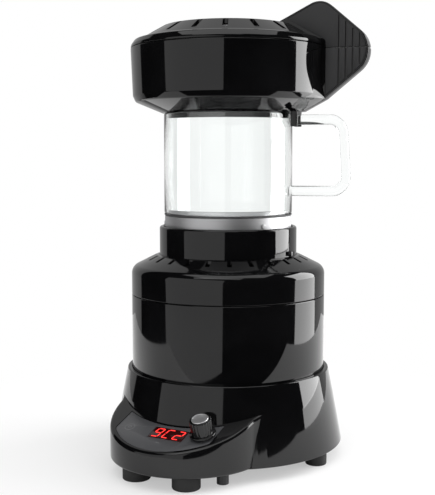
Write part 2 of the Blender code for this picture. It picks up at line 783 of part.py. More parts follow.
def base_plate(root):
    """Screwed floor with the intake grille and the power board's posts."""
    radius = flare_radius(PLATE_TOP) - HOUSING_WALL - GAP
    plate = solid("base_plate", drum(radius, FOOT_HEIGHT, PLATE_TOP, LARGE_SIDES), "matte_black", root)
    nose = prism(console_outline(HOUSING_WALL + GAP, back=CONSOLE_CAVITY_BACK), FOOT_HEIGHT, PLATE_TOP)
    join(plate, nose)
    slots = []
    for index in range(INTAKE_SLOTS):
        y = (index - (INTAKE_SLOTS - 1) / 2) * INTAKE_PITCH
        half = math.sqrt(max(INTAKE_RADIUS ** 2 - y ** 2, 0))
        slots.append(box((-half, y - INTAKE_WIDTH / 2, FOOT_HEIGHT - OVERRUN),
                         (half, y + INTAKE_WIDTH / 2, PLATE_TOP + OVERRUN)))
    hole = BASE_SCREW_RADIUS + GAP
    for x, y in base_screw_places():
        slots.append(drum(hole, FOOT_HEIGHT - OVERRUN, PLATE_TOP + OVERRUN, SMALL_SIDES, x, y))
    cut(plate, gathered(slots))
    posts = [drum(BOARD_POST_RADIUS, PLATE_TOP - EMBED, POWER_BOARD_BOTTOM - GAP, SMALL_SIDES, x, y)
             for x, y in power_post_places()]
    posts += [drum(STUD_RADIUS, STUD_LIFT, FOOT_HEIGHT + EMBED, SMALL_SIDES, x, -STUD_Y)
              for x in (-STUD_X, STUD_X)]
    join(plate, gathered(posts))


def power_post_places():
    half_x = POWER_BOARD_LENGTH / 2 - POWER_POST_INSET
    half_y = POWER_BOARD_WIDTH / 2 - POWER_POST_INSET
    return [(x, POWER_BOARD_Y + y) for x in (-half_x, half_x) for y in (-half_y, half_y)]


def screws(name, outline, places, sides, parent):
    """One numbered screw with a turned outline at each place."""
    for number, (x, y) in enumerate(places, 1):
        shape = moved(turned(outline, sides), Matrix.Translation((x, y, 0)))
        solid(f"{name}_{number}", shape, "steel", parent)


def base_screws(root):
    head_top = FOOT_HEIGHT - GAP
    outline = [(0, head_top - SCREW_HEAD_HEIGHT), (SCREW_HEAD_RADIUS, head_top - SCREW_HEAD_HEIGHT),
               (SCREW_HEAD_RADIUS, head_top), (BASE_SCREW_RADIUS, head_top),
               (BASE_SCREW_RADIUS, FOOT_HEIGHT + BASE_SCREW_LENGTH), (0, FOOT_HEIGHT + BASE_SCREW_LENGTH)]
    screws("base_screw", outline, base_screw_places(), SMALL_SIDES // 2, root)


def feet(root):
    places = {
        "foot_front": (FRONT_FOOT_X, -FRONT_FOOT_Y, FRONT_FOOT_RADIUS),
        "foot_side": (SIDE_FOOT_X, -SIDE_FOOT_Y, FOOT_RADIUS),
        "foot_rear": (REAR_FOOT_X, REAR_FOOT_Y, FOOT_RADIUS),
    }
    top = FOOT_HEIGHT - GAP
    for name, (x, y, radius) in places.items():
        for side, sign in (("left", -1), ("right", 1)):
            outline = [(0, 0), (radius - FOOT_BEVEL, 0), (radius, FOOT_BEVEL), (radius, top), (0, top)]
            shape = moved(turned(outline, MEDIUM_SIDES // 2), Matrix.Translation((sign * x, y, 0)))
            solid(name + "_" + side, shape, "rubber_black", root)


def cord_gland(root):
    """Hollow bush in the rear wall where the supply cord enters."""
    wall = flare_radius(FOOT_HEIGHT + GLAND_RISE + GLAND_FLANGE_RADIUS) - HOUSING_WALL
    seat = math.sqrt(wall ** 2 - GLAND_FLANGE_RADIUS ** 2) - GAP
    inside = seat - GLAND_FLANGE
    shape = turned([
        (GLAND_BORE, inside), (GLAND_FLANGE_RADIUS, inside), (GLAND_FLANGE_RADIUS, seat),
        (GLAND_RADIUS, seat), (GLAND_RADIUS, inside + GLAND_LENGTH),
        (GLAND_BORE, inside + GLAND_LENGTH)], SMALL_SIDES)
    solid("cord_gland", moved(shape, gland_frame()), "rubber_black", root)


def power_electronics(root):
    half_x = POWER_BOARD_LENGTH / 2
    half_y = POWER_BOARD_WIDTH / 2
    board = box((-half_x, POWER_BOARD_Y - half_y, POWER_BOARD_BOTTOM),
                (half_x, POWER_BOARD_Y + half_y, POWER_BOARD_TOP))
    solid("power_board", board, "board_green", root)
    base = POWER_BOARD_TOP + GAP
    relay_x = RELAY_LENGTH / 2
    relay_y = RELAY_WIDTH / 2
    relay = box((-relay_x, POWER_BOARD_Y - relay_y, base),
                (relay_x, POWER_BOARD_Y + relay_y, base + RELAY_HEIGHT))
    solid("relay", relay, "relay_blue", root)
    can_x = (relay_x + half_x) / 2
    capacitor = drum(CAPACITOR_RADIUS, base, base + CAPACITOR_HEIGHT, SMALL_SIDES, can_x, POWER_BOARD_Y)
    solid("capacitor", capacitor, "matte_black", root)
    sink_low = (-can_x - HEAT_SINK_LENGTH / 2, POWER_BOARD_Y - HEAT_SINK_WIDTH / 2)
    sink_high = (-can_x + HEAT_SINK_LENGTH / 2, POWER_BOARD_Y + HEAT_SINK_WIDTH / 2)
    block = box((*sink_low, base), (*sink_high, base + HEAT_SINK_HEIGHT))
    sink = solid("heat_sink", block, "aluminium", root)
    channel = (HEAT_SINK_WIDTH - HEAT_SINK_FINS * HEAT_SINK_FIN) / (HEAT_SINK_FINS - 1)
    channels = []
    for index in range(HEAT_SINK_FINS - 1):
        y = sink_low[1] + HEAT_SINK_FIN + index * (channel + HEAT_SINK_FIN)
        channels.append(box((sink_low[0] - OVERRUN, y, base + HEAT_SINK_BASE),
                            (sink_high[0] + OVERRUN, y + channel, base + HEAT_SINK_HEIGHT + OVERRUN)))
    cut(sink, gathered(channels))


def control_panel(panel):
    """Film, window, display and control board, in the tilted frame."""
    film = solid("panel_overlay", prism(film_outline(GAP), FILM_BOTTOM, FILM_TOP), "film_grey", panel)
    half_x = WINDOW_WIDTH / 2
    half_y = WINDOW_DEPTH / 2
    opening = box((-half_x - GAP, -half_y - GAP, FILM_BOTTOM - OVERRUN),
                  (half_x + GAP, half_y + GAP, OVERRUN))
    knob_x, knob_y = panel_point(KNOB_X, -KNOB_Y)
    bush = drum(BUSH_RADIUS + GAP, FILM_BOTTOM - OVERRUN, OVERRUN, SMALL_SIDES, knob_x, knob_y)
    cut(film, gathered([opening, bush]))
    window = box((-half_x, -half_y, PLATE_UNDER), (half_x, half_y, FILM_TOP))
    solid("display_window", window, "red_window", panel)
    module = box((-DISPLAY_WIDTH / 2, -DISPLAY_DEPTH / 2, DISPLAY_TOP - DISPLAY_HEIGHT),
                 (DISPLAY_WIDTH / 2, DISPLAY_DEPTH / 2, DISPLAY_TOP))
    solid("display_module", module, "matte_black", panel)
    edge = BOARD_WIDTH / 2
    corners = [(edge - BOARD_CUT_X, -BOARD_FRONT), (edge, BOARD_CUT_Y - BOARD_FRONT), (edge, BOARD_BACK)]
    corners += [(-x, y) for x, y in reversed(corners)]
    outline = [(x - DISPLAY_X, y) for x, y in corners]
    board = solid("control_board", prism(outline, BOARD_BOTTOM, BOARD_TOP), "board_green", panel)
    hole = BOARD_SCREW_RADIUS + GAP
    cut(board, gathered([drum(hole, BOARD_BOTTOM - OVERRUN, BOARD_TOP + OVERRUN, SMALL_SIDES, x, y)
                         for x, y in board_post_places()]))
    head_top = BOARD_BOTTOM - GAP
    outline = [(0, head_top - SCREW_HEAD_HEIGHT), (SCREW_HEAD_RADIUS, head_top - SCREW_HEAD_HEIGHT),
               (SCREW_HEAD_RADIUS, head_top), (BOARD_SCREW_RADIUS, head_top),
               (BOARD_SCREW_RADIUS, PLATE_UNDER - GAP), (0, PLATE_UNDER - GAP)]
    screws("board_screw", outline, board_post_places(), SMALL_SIDES // 2, panel)


def knob_assembly(panel):
    """Push encoder with its plunger, shaft, fluted knob and cap, about the knob's own axis."""
    knob_x, knob_y = panel_point(KNOB_X, -KNOB_Y)
    axis = make_empty("knob_axis", panel, (knob_x, knob_y, 0))
    encoder_bottom = BOARD_TOP + GAP
    bore_floor = encoder_bottom + ENCODER_FLOOR
    half = ENCODER_SIDE / 2
    case = box((-half, -half, encoder_bottom), (half, half, encoder_bottom + ENCODER_HEIGHT))
    body = solid("encoder_body", case, "steel", axis)
    join(body, drum(BUSH_RADIUS, encoder_bottom + EMBED, FILM_TOP, SMALL_SIDES))
    cut(body, drum(BUSH_BORE, bore_floor, OVERRUN, SMALL_SIDES))
    plunger_bottom = bore_floor + PRESS_TRAVEL + PRESS_MARGIN
    plunger_top = FILM_TOP - PRESS_TRAVEL
    plunger = turned([
        (0, plunger_bottom), (PLUNGER_RADIUS, plunger_bottom), (PLUNGER_RADIUS, plunger_top),
        (PLUNGER_BORE, plunger_top), (PLUNGER_BORE, plunger_bottom + PLUNGER_WALL),
        (0, plunger_bottom + PLUNGER_WALL)], SMALL_SIDES)
    solid("encoder_plunger", plunger, "brass", axis)
    knob_bottom = KNOB_STANDOFF
    bore_top = knob_bottom + KNOB_BORE_DEPTH
    stem_bottom = plunger_bottom + PLUNGER_WALL + GAP
    shaft = turned([
        (0, stem_bottom), (SHAFT_STEM_RADIUS, stem_bottom), (SHAFT_STEM_RADIUS, plunger_top + GAP),
        (SHAFT_RADIUS, plunger_top + GAP), (SHAFT_RADIUS, bore_top - GAP), (0, bore_top - GAP)], SMALL_SIDES)
    solid("encoder_shaft", shaft, "nylon", axis)
    skirt_top = knob_bottom + KNOB_SKIRT_HEIGHT
    knob_top = knob_bottom + KNOB_HEIGHT
    knob = solid("knob", drum(KNOB_SKIRT_RADIUS, knob_bottom, skirt_top, MEDIUM_SIDES), "gloss_black", axis)
    flutes = []
    for index in range(2 * KNOB_FLUTES):
        radius = KNOB_RADIUS - KNOB_FLUTE_DEPTH * (index % 2)
        flutes.append(polar(radius, index * 180 / KNOB_FLUTES))
    join(knob, prism(flutes, skirt_top - EMBED, knob_top))
    socket = drum(KNOB_CAP_RADIUS + GAP, knob_top - KNOB_CAP_HEIGHT / 2, knob_top + OVERRUN, MEDIUM_SIDES)
    cut(knob, gathered([socket, drum(SHAFT_RADIUS + GAP, knob_bottom - OVERRUN, bore_top, SMALL_SIDES)]))
    cap_bottom = knob_top - KNOB_CAP_HEIGHT / 2 + GAP
    cap = drum(KNOB_CAP_RADIUS, cap_bottom, cap_bottom + KNOB_CAP_HEIGHT, MEDIUM_SIDES)
    solid("knob_cap", cap, "chrome", axis)


def body_shell(root):
    """Straight lower casing with the ledge that carries the blower floor."""
    inner = BODY_RADIUS - BODY_WALL
    ledge = inner - LEDGE_WIDTH
    under = BLOWER_SEAT - BODY_WALL
    shape = turned([
        (BODY_RADIUS, BODY_FOOT), (BODY_RADIUS, SEAM - SEAM_BEVEL), (BODY_RADIUS - SEAM_BEVEL, SEAM),
        (inner, SEAM), (inner, BLOWER_SEAT), (ledge, BLOWER_SEAT), (ledge, under),
        (inner, under - LEDGE_WIDTH), (inner, BODY_FOOT)], LARGE_SIDES)
    solid("body_shell", shape, "gloss_black", root)


def upper_housing(root):
    """Rounded shoulder with the ring of exhaust slots round the collar."""
    opening = COLLAR_RADIUS + GAP
    inner = BODY_RADIUS - BODY_WALL
    spigot = inner - GAP
    wall_top = SEAM + SHOULDER_RISE
    centre = BODY_RADIUS - SHOULDER_RADIUS
    fillet_drop = COLLAR_FOOT_RISE - FILLET_RISE
    fillet = []
    for degrees in (90, 45, 0):
        x, y = polar(1, degrees)
        fillet.append((FILLET_RADIUS - (FILLET_RADIUS - opening) * x, COLLAR_FOOT - fillet_drop * y))
    under = [(radius, height - BODY_WALL) for radius, height in reversed(fillet)]
    outline = [(BODY_RADIUS - SEAM_BEVEL, SEAM + GAP), (BODY_RADIUS, SEAM + GAP + SEAM_BEVEL)]
    outline += arc(centre, wall_top, SHOULDER_RADIUS, 0, SHOULDER_SWEEP, 3)
    outline += fillet + under
    outline += arc(centre, wall_top, SHOULDER_RADIUS - BODY_WALL, SHOULDER_SWEEP, 0, 2)
    outline += [(inner, SEAM + GAP + SPIGOT_WALL), (spigot - SPIGOT_WALL, SEAM + GAP),
                (spigot - SPIGOT_WALL, SEAM - SPIGOT_DEPTH), (spigot, SEAM - SPIGOT_DEPTH),
                (spigot, SEAM + GAP)]
    housing = solid("upper_housing", turned(outline, LARGE_SIDES), "gloss_black", root)

    def vent():
        return box((VENT_INNER, -VENT_WIDTH / 2, SEAM + SHOULDER_RISE),
                   (VENT_OUTER, VENT_WIDTH / 2, COLLAR_TOP))

    cut(housing, spaced(vent, VENT_COUNT))


def chamber_collar(root):
    """Upright collar that guides the chamber ring, with its ledge and locating lug."""
    flange_top = SEAM + FILLET_RISE - BODY_WALL - GAP
    flange_bottom = flange_top - COLLAR_FLANGE
    ledge = COLLAR_BORE - COLLAR_LEDGE_WIDTH
    under = COLLAR_LEDGE_TOP - COLLAR_LEDGE
    shape = turned([
        (COLLAR_BORE, COLLAR_TOP - COLLAR_ROUND / 2), (COLLAR_BORE, COLLAR_LEDGE_TOP),
        (ledge, COLLAR_LEDGE_TOP), (ledge, under), (COLLAR_BORE, under - COLLAR_LEDGE_WIDTH / 2),
        (COLLAR_BORE, flange_bottom), (COLLAR_FLANGE_RADIUS, flange_bottom),
        (COLLAR_FLANGE_RADIUS, flange_top), (COLLAR_RADIUS, flange_top),
        (COLLAR_RADIUS, COLLAR_TOP - COLLAR_ROUND),
        (COLLAR_RADIUS - COLLAR_ROUND / 3, COLLAR_TOP - COLLAR_ROUND / 3),
        (COLLAR_RADIUS - COLLAR_ROUND, COLLAR_TOP)], LARGE_SIDES)
    collar = solid("chamber_collar", shape, "gloss_black", root)
    lug = box((COLLAR_RADIUS - EMBED, -LUG_WIDTH / 2, COLLAR_FOOT + GAP),
              (COLLAR_RADIUS + LUG_REACH, LUG_WIDTH / 2, COLLAR_FOOT + GAP + LUG_HEIGHT))
    join(collar, lug)


def chamber_seat(root):
    """Steel funnel that leads the hot air from the heater can up into the chamber ring."""
    bore = CAN_RADIUS + GAP + GAP
    skirt_bottom = SEAT_BOTTOM - SEAT_SKIRT_DROP
    throat = SEAT_BOTTOM - SEAT_PLATE
    shape = turned([
        (bore, skirt_bottom), (bore + SEAT_WALL, skirt_bottom), (bore + SEAT_WALL, throat),
        (SEAT_MOUTH_RADIUS - SEAT_WALL, SEAT_BOTTOM), (COLLAR_BORE - GAP, SEAT_BOTTOM),
        (COLLAR_BORE - GAP, SEAT_TOP), (SEAT_MOUTH_RADIUS, SEAT_TOP),
        (bore, throat + SEAT_PLATE / 4)], MEDIUM_SIDES)
    solid("chamber_seat", shape, "steel", root)


def blower_floor(root):
    """Partition with the air eye and the spider that the motor hangs from."""
    radius = BODY_RADIUS - BODY_WALL - GAP
    shape = turned([(EYE_RADIUS, FLOOR_BOTTOM), (radius, FLOOR_BOTTOM), (radius, FLOOR_TOP),
                    (EYE_RADIUS, FLOOR_TOP)], LARGE_SIDES)
    floor = solid("blower_floor", shape, "matte_black", root)
    join(floor, drum(SPIDER_HUB_RADIUS, FLOOR_BOTTOM, FLOOR_TOP, MEDIUM_SIDES))

    def arm():
        return box((SPIDER_HUB_RADIUS - OVERRUN, -SPIDER_ARM_WIDTH / 2, FLOOR_BOTTOM),
                   (EYE_RADIUS + OVERRUN, SPIDER_ARM_WIDTH / 2, FLOOR_TOP))

    join(floor, spaced(arm, 3, 30))
    holes = [drum(MOTOR_SHAFT_RADIUS + GAP, FLOOR_BOTTOM - OVERRUN, FLOOR_TOP + OVERRUN)]
    holes += motor_screw_holes()
    holes.append(lead_hole())
    cut(floor, gathered(holes))


def motor_screw_places():
    return [(MOTOR_SCREW_CIRCLE, 0), (-MOTOR_SCREW_CIRCLE, 0)]


def motor_screw_holes():
    low = MOTOR_TOP - MOTOR_SCREW_DEPTH
    return [drum(MOTOR_SCREW_RADIUS + GAP, low, FLOOR_TOP + OVERRUN, SMALL_SIDES, x, y)
            for x, y in motor_screw_places()]


def blower_motor(root):
    bore = MOTOR_SHAFT_RADIUS + GAP
    shape = turned([
        (bore, MOTOR_BOTTOM - MOTOR_BOSS), (MOTOR_BOSS_RADIUS, MOTOR_BOTTOM - MOTOR_BOSS),
        (MOTOR_BOSS_RADIUS, MOTOR_BOTTOM), (MOTOR_RADIUS - MOTOR_BEVEL, MOTOR_BOTTOM),
        (MOTOR_RADIUS, MOTOR_BOTTOM + MOTOR_BEVEL), (MOTOR_RADIUS, MOTOR_TOP - MOTOR_BEVEL),
        (MOTOR_RADIUS - MOTOR_BEVEL, MOTOR_TOP), (bore, MOTOR_TOP)], MEDIUM_SIDES)
    motor = solid("blower_motor", shape, "steel", root)
    cut(motor, gathered(motor_screw_holes()))
    head_bottom = FLOOR_TOP + GAP
    low = MOTOR_TOP - MOTOR_SCREW_DEPTH + GAP
    outline = [(0, low), (MOTOR_SCREW_RADIUS, low), (MOTOR_SCREW_RADIUS, head_bottom),
               (SCREW_HEAD_RADIUS, head_bottom), (SCREW_HEAD_RADIUS, head_bottom + SCREW_HEAD_HEIGHT),
               (0, head_bottom + SCREW_HEAD_HEIGHT)]
    screws("motor_screw", outline, motor_screw_places(), SMALL_SIDES // 2, root)


def impeller(root):
    """Motor shaft and the radial fan wheel that it turns."""
    shaft = drum(MOTOR_SHAFT_RADIUS, MOTOR_BOTTOM - MOTOR_BOSS, IMPELLER_TOP - GAP)
    solid("motor_shaft", shaft, "steel", root)
    bore = MOTOR_SHAFT_RADIUS + GAP
    plate_bottom = IMPELLER_TOP - IMPELLER_PLATE
    wheel = solid("impeller", turned([
        (bore, IMPELLER_BOTTOM), (IMPELLER_HUB_RADIUS, IMPELLER_BOTTOM), (IMPELLER_HUB_RADIUS, plate_bottom),
        (IMPELLER_RADIUS, plate_bottom), (IMPELLER_RADIUS, IMPELLER_TOP), (bore, IMPELLER_TOP)],
        MEDIUM_SIDES), "nylon", root)
    length = (IMPELLER_RADIUS - IMPELLER_BLADE_INNER) * math.cos(math.radians(IMPELLER_BLADE_RAKE / 2))

    def blade():
        shape = box((0, -IMPELLER_BLADE_THICKNESS / 2, IMPELLER_BOTTOM),
                    (length - EMBED, IMPELLER_BLADE_THICKNESS / 2, plate_bottom + IMPELLER_PLATE / 2))
        moved(shape, Matrix.Rotation(math.radians(IMPELLER_BLADE_RAKE), 4, "Z"))
        return moved(shape, Matrix.Translation((IMPELLER_BLADE_INNER, 0, 0)))

    join(wheel, spaced(blade, IMPELLER_BLADES))


def blower_case(root):
    """Inverted cup round the fan wheel, with the spigot that centres the heater can."""
    bore = BLOWER_CASE_RADIUS - BLOWER_CASE_WALL
    foot = FLOOR_TOP + GAP
    spigot = CAN_BORE - GAP
    flange = BLOWER_CASE_RADIUS + BLOWER_FLANGE_WIDTH
    shape = turned([
        (bore, foot), (flange, foot), (flange, foot + BLOWER_CASE_WALL),
        (BLOWER_CASE_RADIUS, foot + BLOWER_CASE_WALL), (BLOWER_CASE_RADIUS, ROOF_TOP),
        (spigot, ROOF_TOP), (spigot, ROOF_TOP + CAN_SPIGOT_HEIGHT),
        (spigot - CAN_SPIGOT_WALL, ROOF_TOP + CAN_SPIGOT_HEIGHT),
        (spigot - CAN_SPIGOT_WALL, ROOF_TOP - BLOWER_CASE_WALL), (bore, ROOF_TOP - BLOWER_CASE_WALL)],
        MEDIUM_SIDES)
    solid("blower_housing", shape, "nylon", root)


def heater(root):
    """Heater can, mica cross, wound element, thermal cutoff and air temperature sensor."""
    can = turned([(CAN_BORE, CAN_BOTTOM), (CAN_RADIUS, CAN_BOTTOM), (CAN_RADIUS, CAN_TOP),
                  (CAN_BORE, CAN_TOP)], MEDIUM_SIDES)
    solid("heater_can", can, "steel", root)
    width = CAN_BORE - GAP - GAP
    half = FORMER_THICKNESS / 2
    outline = [
        (-width, FORMER_BOTTOM), (width, FORMER_BOTTOM), (width, FORMER_BOTTOM + FORMER_END),
        (FORMER_WAIST, FORMER_BOTTOM + FORMER_END), (FORMER_WAIST, FORMER_TOP - FORMER_END),
        (width, FORMER_TOP - FORMER_END), (width, FORMER_TOP), (-width, FORMER_TOP),
        (-width, FORMER_TOP - FORMER_END), (-FORMER_WAIST, FORMER_TOP - FORMER_END),
        (-FORMER_WAIST, FORMER_BOTTOM + FORMER_END), (-width, FORMER_BOTTOM + FORMER_END)]
    upright = Matrix.Rotation(math.radians(90), 4, "X")
    former = solid("heater_former", moved(prism(outline, -half, half), upright), "mica", root)
    across = Matrix.Rotation(math.radians(90), 4, "Z") @ upright
    join(former, moved(prism(outline, -half, half), across))
    radius = FORMER_WAIST + COIL_WIRE_RADIUS + GAP
    low = FORMER_BOTTOM + FORMER_END + COIL_WIRE_RADIUS + GAP
    high = FORMER_TOP - FORMER_END - COIL_WIRE_RADIUS - GAP
    total = COIL_TURNS * COIL_TURN_POINTS
    turns = []
    for index in range(total + 1):
        x, y = polar(radius, 360 * index / COIL_TURN_POINTS)
        turns.append((x, y, low + (high - low) * index / total))
    tube("heater_coil", turns, COIL_WIRE_RADIUS, "coil_wire", root, 0)
    place = Matrix.Translation((0, 0, CAN_BOTTOM + CUTOFF_RISE)) @ Matrix.Rotation(math.radians(-90), 4, "X")
    cutoff = drum(CUTOFF_RADIUS, CAN_RADIUS + GAP, CAN_RADIUS + GAP + CUTOFF_THICKNESS)
    solid("thermal_cutoff", moved(cutoff, place), "matte_black", root)
    foot = FORMER_TOP + GAP
    solid("temperature_sensor", drum(SENSOR_RADIUS, foot, foot + SENSOR_LENGTH), "steel", root)


def lead_hole():
    """Hole in the blower floor for the heater's leads."""
    x, y = polar(lead_circle(), LEAD_ANGLE)
    return drum(LEAD_RADIUS + GAP + GAP, FLOOR_BOTTOM - OVERRUN, FLOOR_TOP + OVERRUN, SMALL_SIDES, x, y)


def lead_circle():
    """Radius at which the leads rise between the blower housing and the body shell."""
    return (BLOWER_CASE_RADIUS + BLOWER_FLANGE_WIDTH + BODY_RADIUS - BODY_WALL - LEDGE_WIDTH) / 2


def leads(root):
    """Sleeved leads from the power board to the heater and the motor, and the panel's cable."""
    x, y = polar(lead_circle(), LEAD_ANGLE)
    board_top = POWER_BOARD_TOP + GAP
    start_x = POWER_BOARD_LENGTH / 2 - POWER_POST_INSET / 2
    can_x, can_y = polar(CAN_RADIUS + GAP, LEAD_ANGLE)
    bend = (ROOF_TOP + CAN_BOTTOM + CUTOFF_RISE) / 2
    run_x, run_y = polar(BLOWER_CASE_RADIUS - BLOWER_FLANGE_WIDTH, LEAD_ANGLE)
    knots = [(start_x, POWER_BOARD_Y, board_top), (start_x, POWER_BOARD_Y, BODY_FOOT - LEAD_STANDOFF),
             (x, y, FLOOR_BOTTOM - LEAD_STANDOFF), (x, y, FLOOR_TOP + LEAD_STANDOFF),
             (x, y, ROOF_TOP - LEAD_STANDOFF),
             (run_x, run_y, bend), (can_x, can_y, bend)]
    tube("heater_leads", smooth_route(knots, 4), LEAD_RADIUS, "lead_sleeve", root, 1)
    motor_z = MOTOR_BOTTOM + MOTOR_BOSS
    lead_y = POWER_BOARD_Y - POWER_BOARD_WIDTH / 2 + POWER_POST_INSET
    knots = [(0, lead_y, board_top), (0, lead_y, (board_top + motor_z) / 2 + LEAD_STANDOFF),
             (0, MOTOR_RADIUS + LEAD_STANDOFF, motor_z + LEAD_STANDOFF),
             (0, MOTOR_RADIUS + GAP, motor_z + LEAD_STANDOFF)]
    tube("motor_leads", smooth_route(knots, 3), LEAD_RADIUS, "lead_sleeve", root, 1)


def chamber_ring(root):
    """Aluminium foot ring of the glass chamber with its pips, and its air screen and gasket."""
    bore = RING_RADIUS - RING_WALL
    lip = GLASS_BORE - GAP
    shelf_top = RING_TOP - RING_SHELF_DROP
    shelf_bottom = shelf_top - RING_SHELF
    ring = solid("chamber_ring", turned([
        (RING_RADIUS, RING_BOTTOM), (RING_RADIUS, RING_TOP), (lip, RING_TOP),
        (lip, RING_TOP + RING_LIP_HEIGHT), (THROAT_RADIUS, RING_TOP + RING_LIP_HEIGHT),
        (THROAT_RADIUS, shelf_top), (THROAT_RADIUS - RING_SHELF_WIDTH, shelf_top),
        (THROAT_RADIUS - RING_SHELF_WIDTH, shelf_bottom), (bore, shelf_bottom - RING_SHELF),
        (bore, RING_BOTTOM)], LARGE_SIDES), "aluminium", root)
    turn = Matrix.Translation((0, 0, RING_TOP - PIP_DROP)) @ Matrix.Rotation(math.radians(90), 4, "Y")

    def pip():
        return moved(drum(PIP_RADIUS, RING_RADIUS - EMBED, RING_RADIUS + PIP_REACH, SMALL_SIDES // 2), turn)

    join(ring, spaced(pip, PIP_COUNT, PIP_FIRST_ANGLE))
    screen_bottom = shelf_top + GAP
    disc = drum(THROAT_RADIUS - GAP, screen_bottom, screen_bottom + AIR_SCREEN, LARGE_SIDES)
    screen = solid("air_screen", disc, "steel", root)

    def slot():
        return box((AIR_SLOT_INNER, -AIR_SLOT_WIDTH / 2, screen_bottom - OVERRUN),
                   (AIR_SLOT_OUTER, AIR_SLOT_WIDTH / 2, screen_bottom + OVERRUN))

    cut(screen, spaced(slot, AIR_SLOTS))
    gasket_top = GASKET_BOTTOM + GASKET
    gasket = turned([(lip + GAP, GASKET_BOTTOM), (GLASS_RADIUS, GASKET_BOTTOM),
                     (GLASS_RADIUS, gasket_top), (lip + GAP, gasket_top)], LARGE_SIDES)
    solid("chamber_gasket", gasket, "silicone", root)


def glass_chamber(root):
    """Straight glass jar with its open loop handle."""
    jar = turned([
        (GLASS_BORE, GLASS_BOTTOM), (GLASS_RADIUS - GLASS_FOOT_ROUND, GLASS_BOTTOM),
        (GLASS_RADIUS, GLASS_BOTTOM + GLASS_FOOT_ROUND), (GLASS_RADIUS, GLASS_TOP),
        (GLASS_BORE, GLASS_TOP)], LARGE_SIDES)
    solid("glass_jar", jar, "clear_glass", root)
    start = GLASS_RADIUS + GAP
    reach = GLASS_HANDLE_REACH - HANDLE_ROD_RADIUS
    corner = GLASS_HANDLE_CORNER
    route = [(start, UPPER_BAR)]
    route += arc(reach - GLASS_HANDLE_LEAN - corner, UPPER_BAR - corner, corner, 90, 0, 5)
    route += arc(reach - corner, LOWER_BAR + corner, corner, 0, -90, 5)
    route.append((start, LOWER_BAR))
    points = [(x, 0, z) for x, z in route]
    tube("glass_handle", points, HANDLE_ROD_RADIUS, "clear_glass", root, 2)


def fin_outline():
    """Side view of the fin handle in (radius, height), reaching a little into the lid and the band."""
    seam_radius = BAND_TOP_RADIUS - EMBED
    return rounded([
        (FIN_ROOT_RADIUS, LID_SEAM + FIN_ROOT_RISE, 0),
        (FIN_PEAK_RADIUS, LID_SEAM + FIN_PEAK_RISE, FIN_PEAK_ROUND),
        (FIN_NOSE_RADIUS, LID_SEAM - FIN_NOSE_DROP, FIN_NOSE_ROUND),
        (FIN_HEEL_RADIUS, COLLECTOR_FOOT + FIN_HEEL_RISE, 0),
        (CONE_RADIUS - EMBED / 4, COLLECTOR_FOOT + FIN_HEEL_RISE, 0),
        (BAND_FOOT_RADIUS - EMBED, COLLECTOR_FOOT + BAND_FOOT_RISE, 0),
        (seam_radius, LID_SEAM, 0),
        (seam_radius - LID_CORNER / 2, LID_SEAM + LID_SHOULDER_RISE / 2, 0),
        (LID_SHOULDER_RADIUS, LID_SEAM + LID_SHOULDER_RISE - EMBED, 0),
        (LID_TOP_RADIUS - EMBED, LID_TOP - EMBED, 0),
        (FIN_ROOT_RADIUS - EMBED, LID_TOP - EMBED, 0)], 5)


def sideways(outline, low_y, high_y):
    """Prism of a (radius, height) outline, between two places along Y."""
    shape = prism(outline, -high_y, -low_y)
    return moved(shape, Matrix.Rotation(math.radians(90), 4, "X"))


def fin_half(upper):
    """Fin above or below the seam, as a bare shape."""
    half = FIN_THICKNESS / 2
    fin = solid("fin_blank", sideways(fin_outline(), -half, half), "gloss_black", None)
    reach = FIN_NOSE_RADIUS
    if upper:
        cut(fin, box((0, -reach, 0), (reach, reach, LID_SEAM + GAP)))
    else:
        cut(fin, box((0, -reach, LID_SEAM), (reach, reach, LID_TOP + reach)))
    shape = bmesh.new()
    shape.from_mesh(fin.data)
    bpy.data.objects.remove(fin, do_unlink=True)
    return shape


def shrunk_fin(inset):
    """Corners of the fin's free edges, drawn in by an inset."""
    root = Vector((FIN_ROOT_RADIUS, LID_SEAM + FIN_ROOT_RISE))
    peak = Vector((FIN_PEAK_RADIUS, LID_SEAM + FIN_PEAK_RISE))
    nose = Vector((FIN_NOSE_RADIUS, LID_SEAM - FIN_NOSE_DROP))
    heel = Vector((FIN_HEEL_RADIUS, COLLECTOR_FOOT + FIN_HEEL_RISE))
    centre = Vector((PAD_INNER_RADIUS, LID_SEAM))

    def line(first, second):
        along = (second - first).normalized()
        inward = Vector((along.y, -along.x))
        if inward.dot(centre - first) < 0:
            inward = -inward
        return first + inward * inset, along

    def crossing(first, second):
        (start, along), (other, across) = first, second
        share = (other - start).cross(across) / along.cross(across)
        return start + along * share

    upper, front, lower = line(root, peak), line(peak, nose), line(nose, heel)
    return upper, crossing(upper, front), crossing(front, lower), lower


def pad_outline(upper, inset):
    """Matte grip face above or below the seam."""
    upper_line, peak, nose, lower_line = shrunk_fin(PAD_RIM + inset)
    inner = PAD_INNER_RADIUS + inset
    middle = LID_SEAM + GAP / 2
    peak_round = FIN_PEAK_ROUND - PAD_RIM - inset
    nose_round = FIN_NOSE_ROUND - PAD_RIM - inset
    whole = rounded([
        (peak.x, peak.y, peak_round),
        (nose.x, nose.y, nose_round),
        (inner, crossing_height(lower_line, inner), 0),
        (inner, LID_SEAM + LID_SHOULDER_RISE / 2, PAD_CORNER),
        (LID_SHOULDER_RADIUS + inset, LID_SEAM + LID_SHOULDER_RISE + PAD_LID_MARGIN + inset, 0),
        (LID_TOP_RADIUS - PAD_LID_MARGIN + inset,
         crossing_height(upper_line, LID_TOP_RADIUS - PAD_LID_MARGIN + inset), 0)], 5)
    edge = middle + (GAP / 2 + PAD_RIM / 4 + inset) * (1 if upper else -1)
    return clipped(whole, edge, upper)


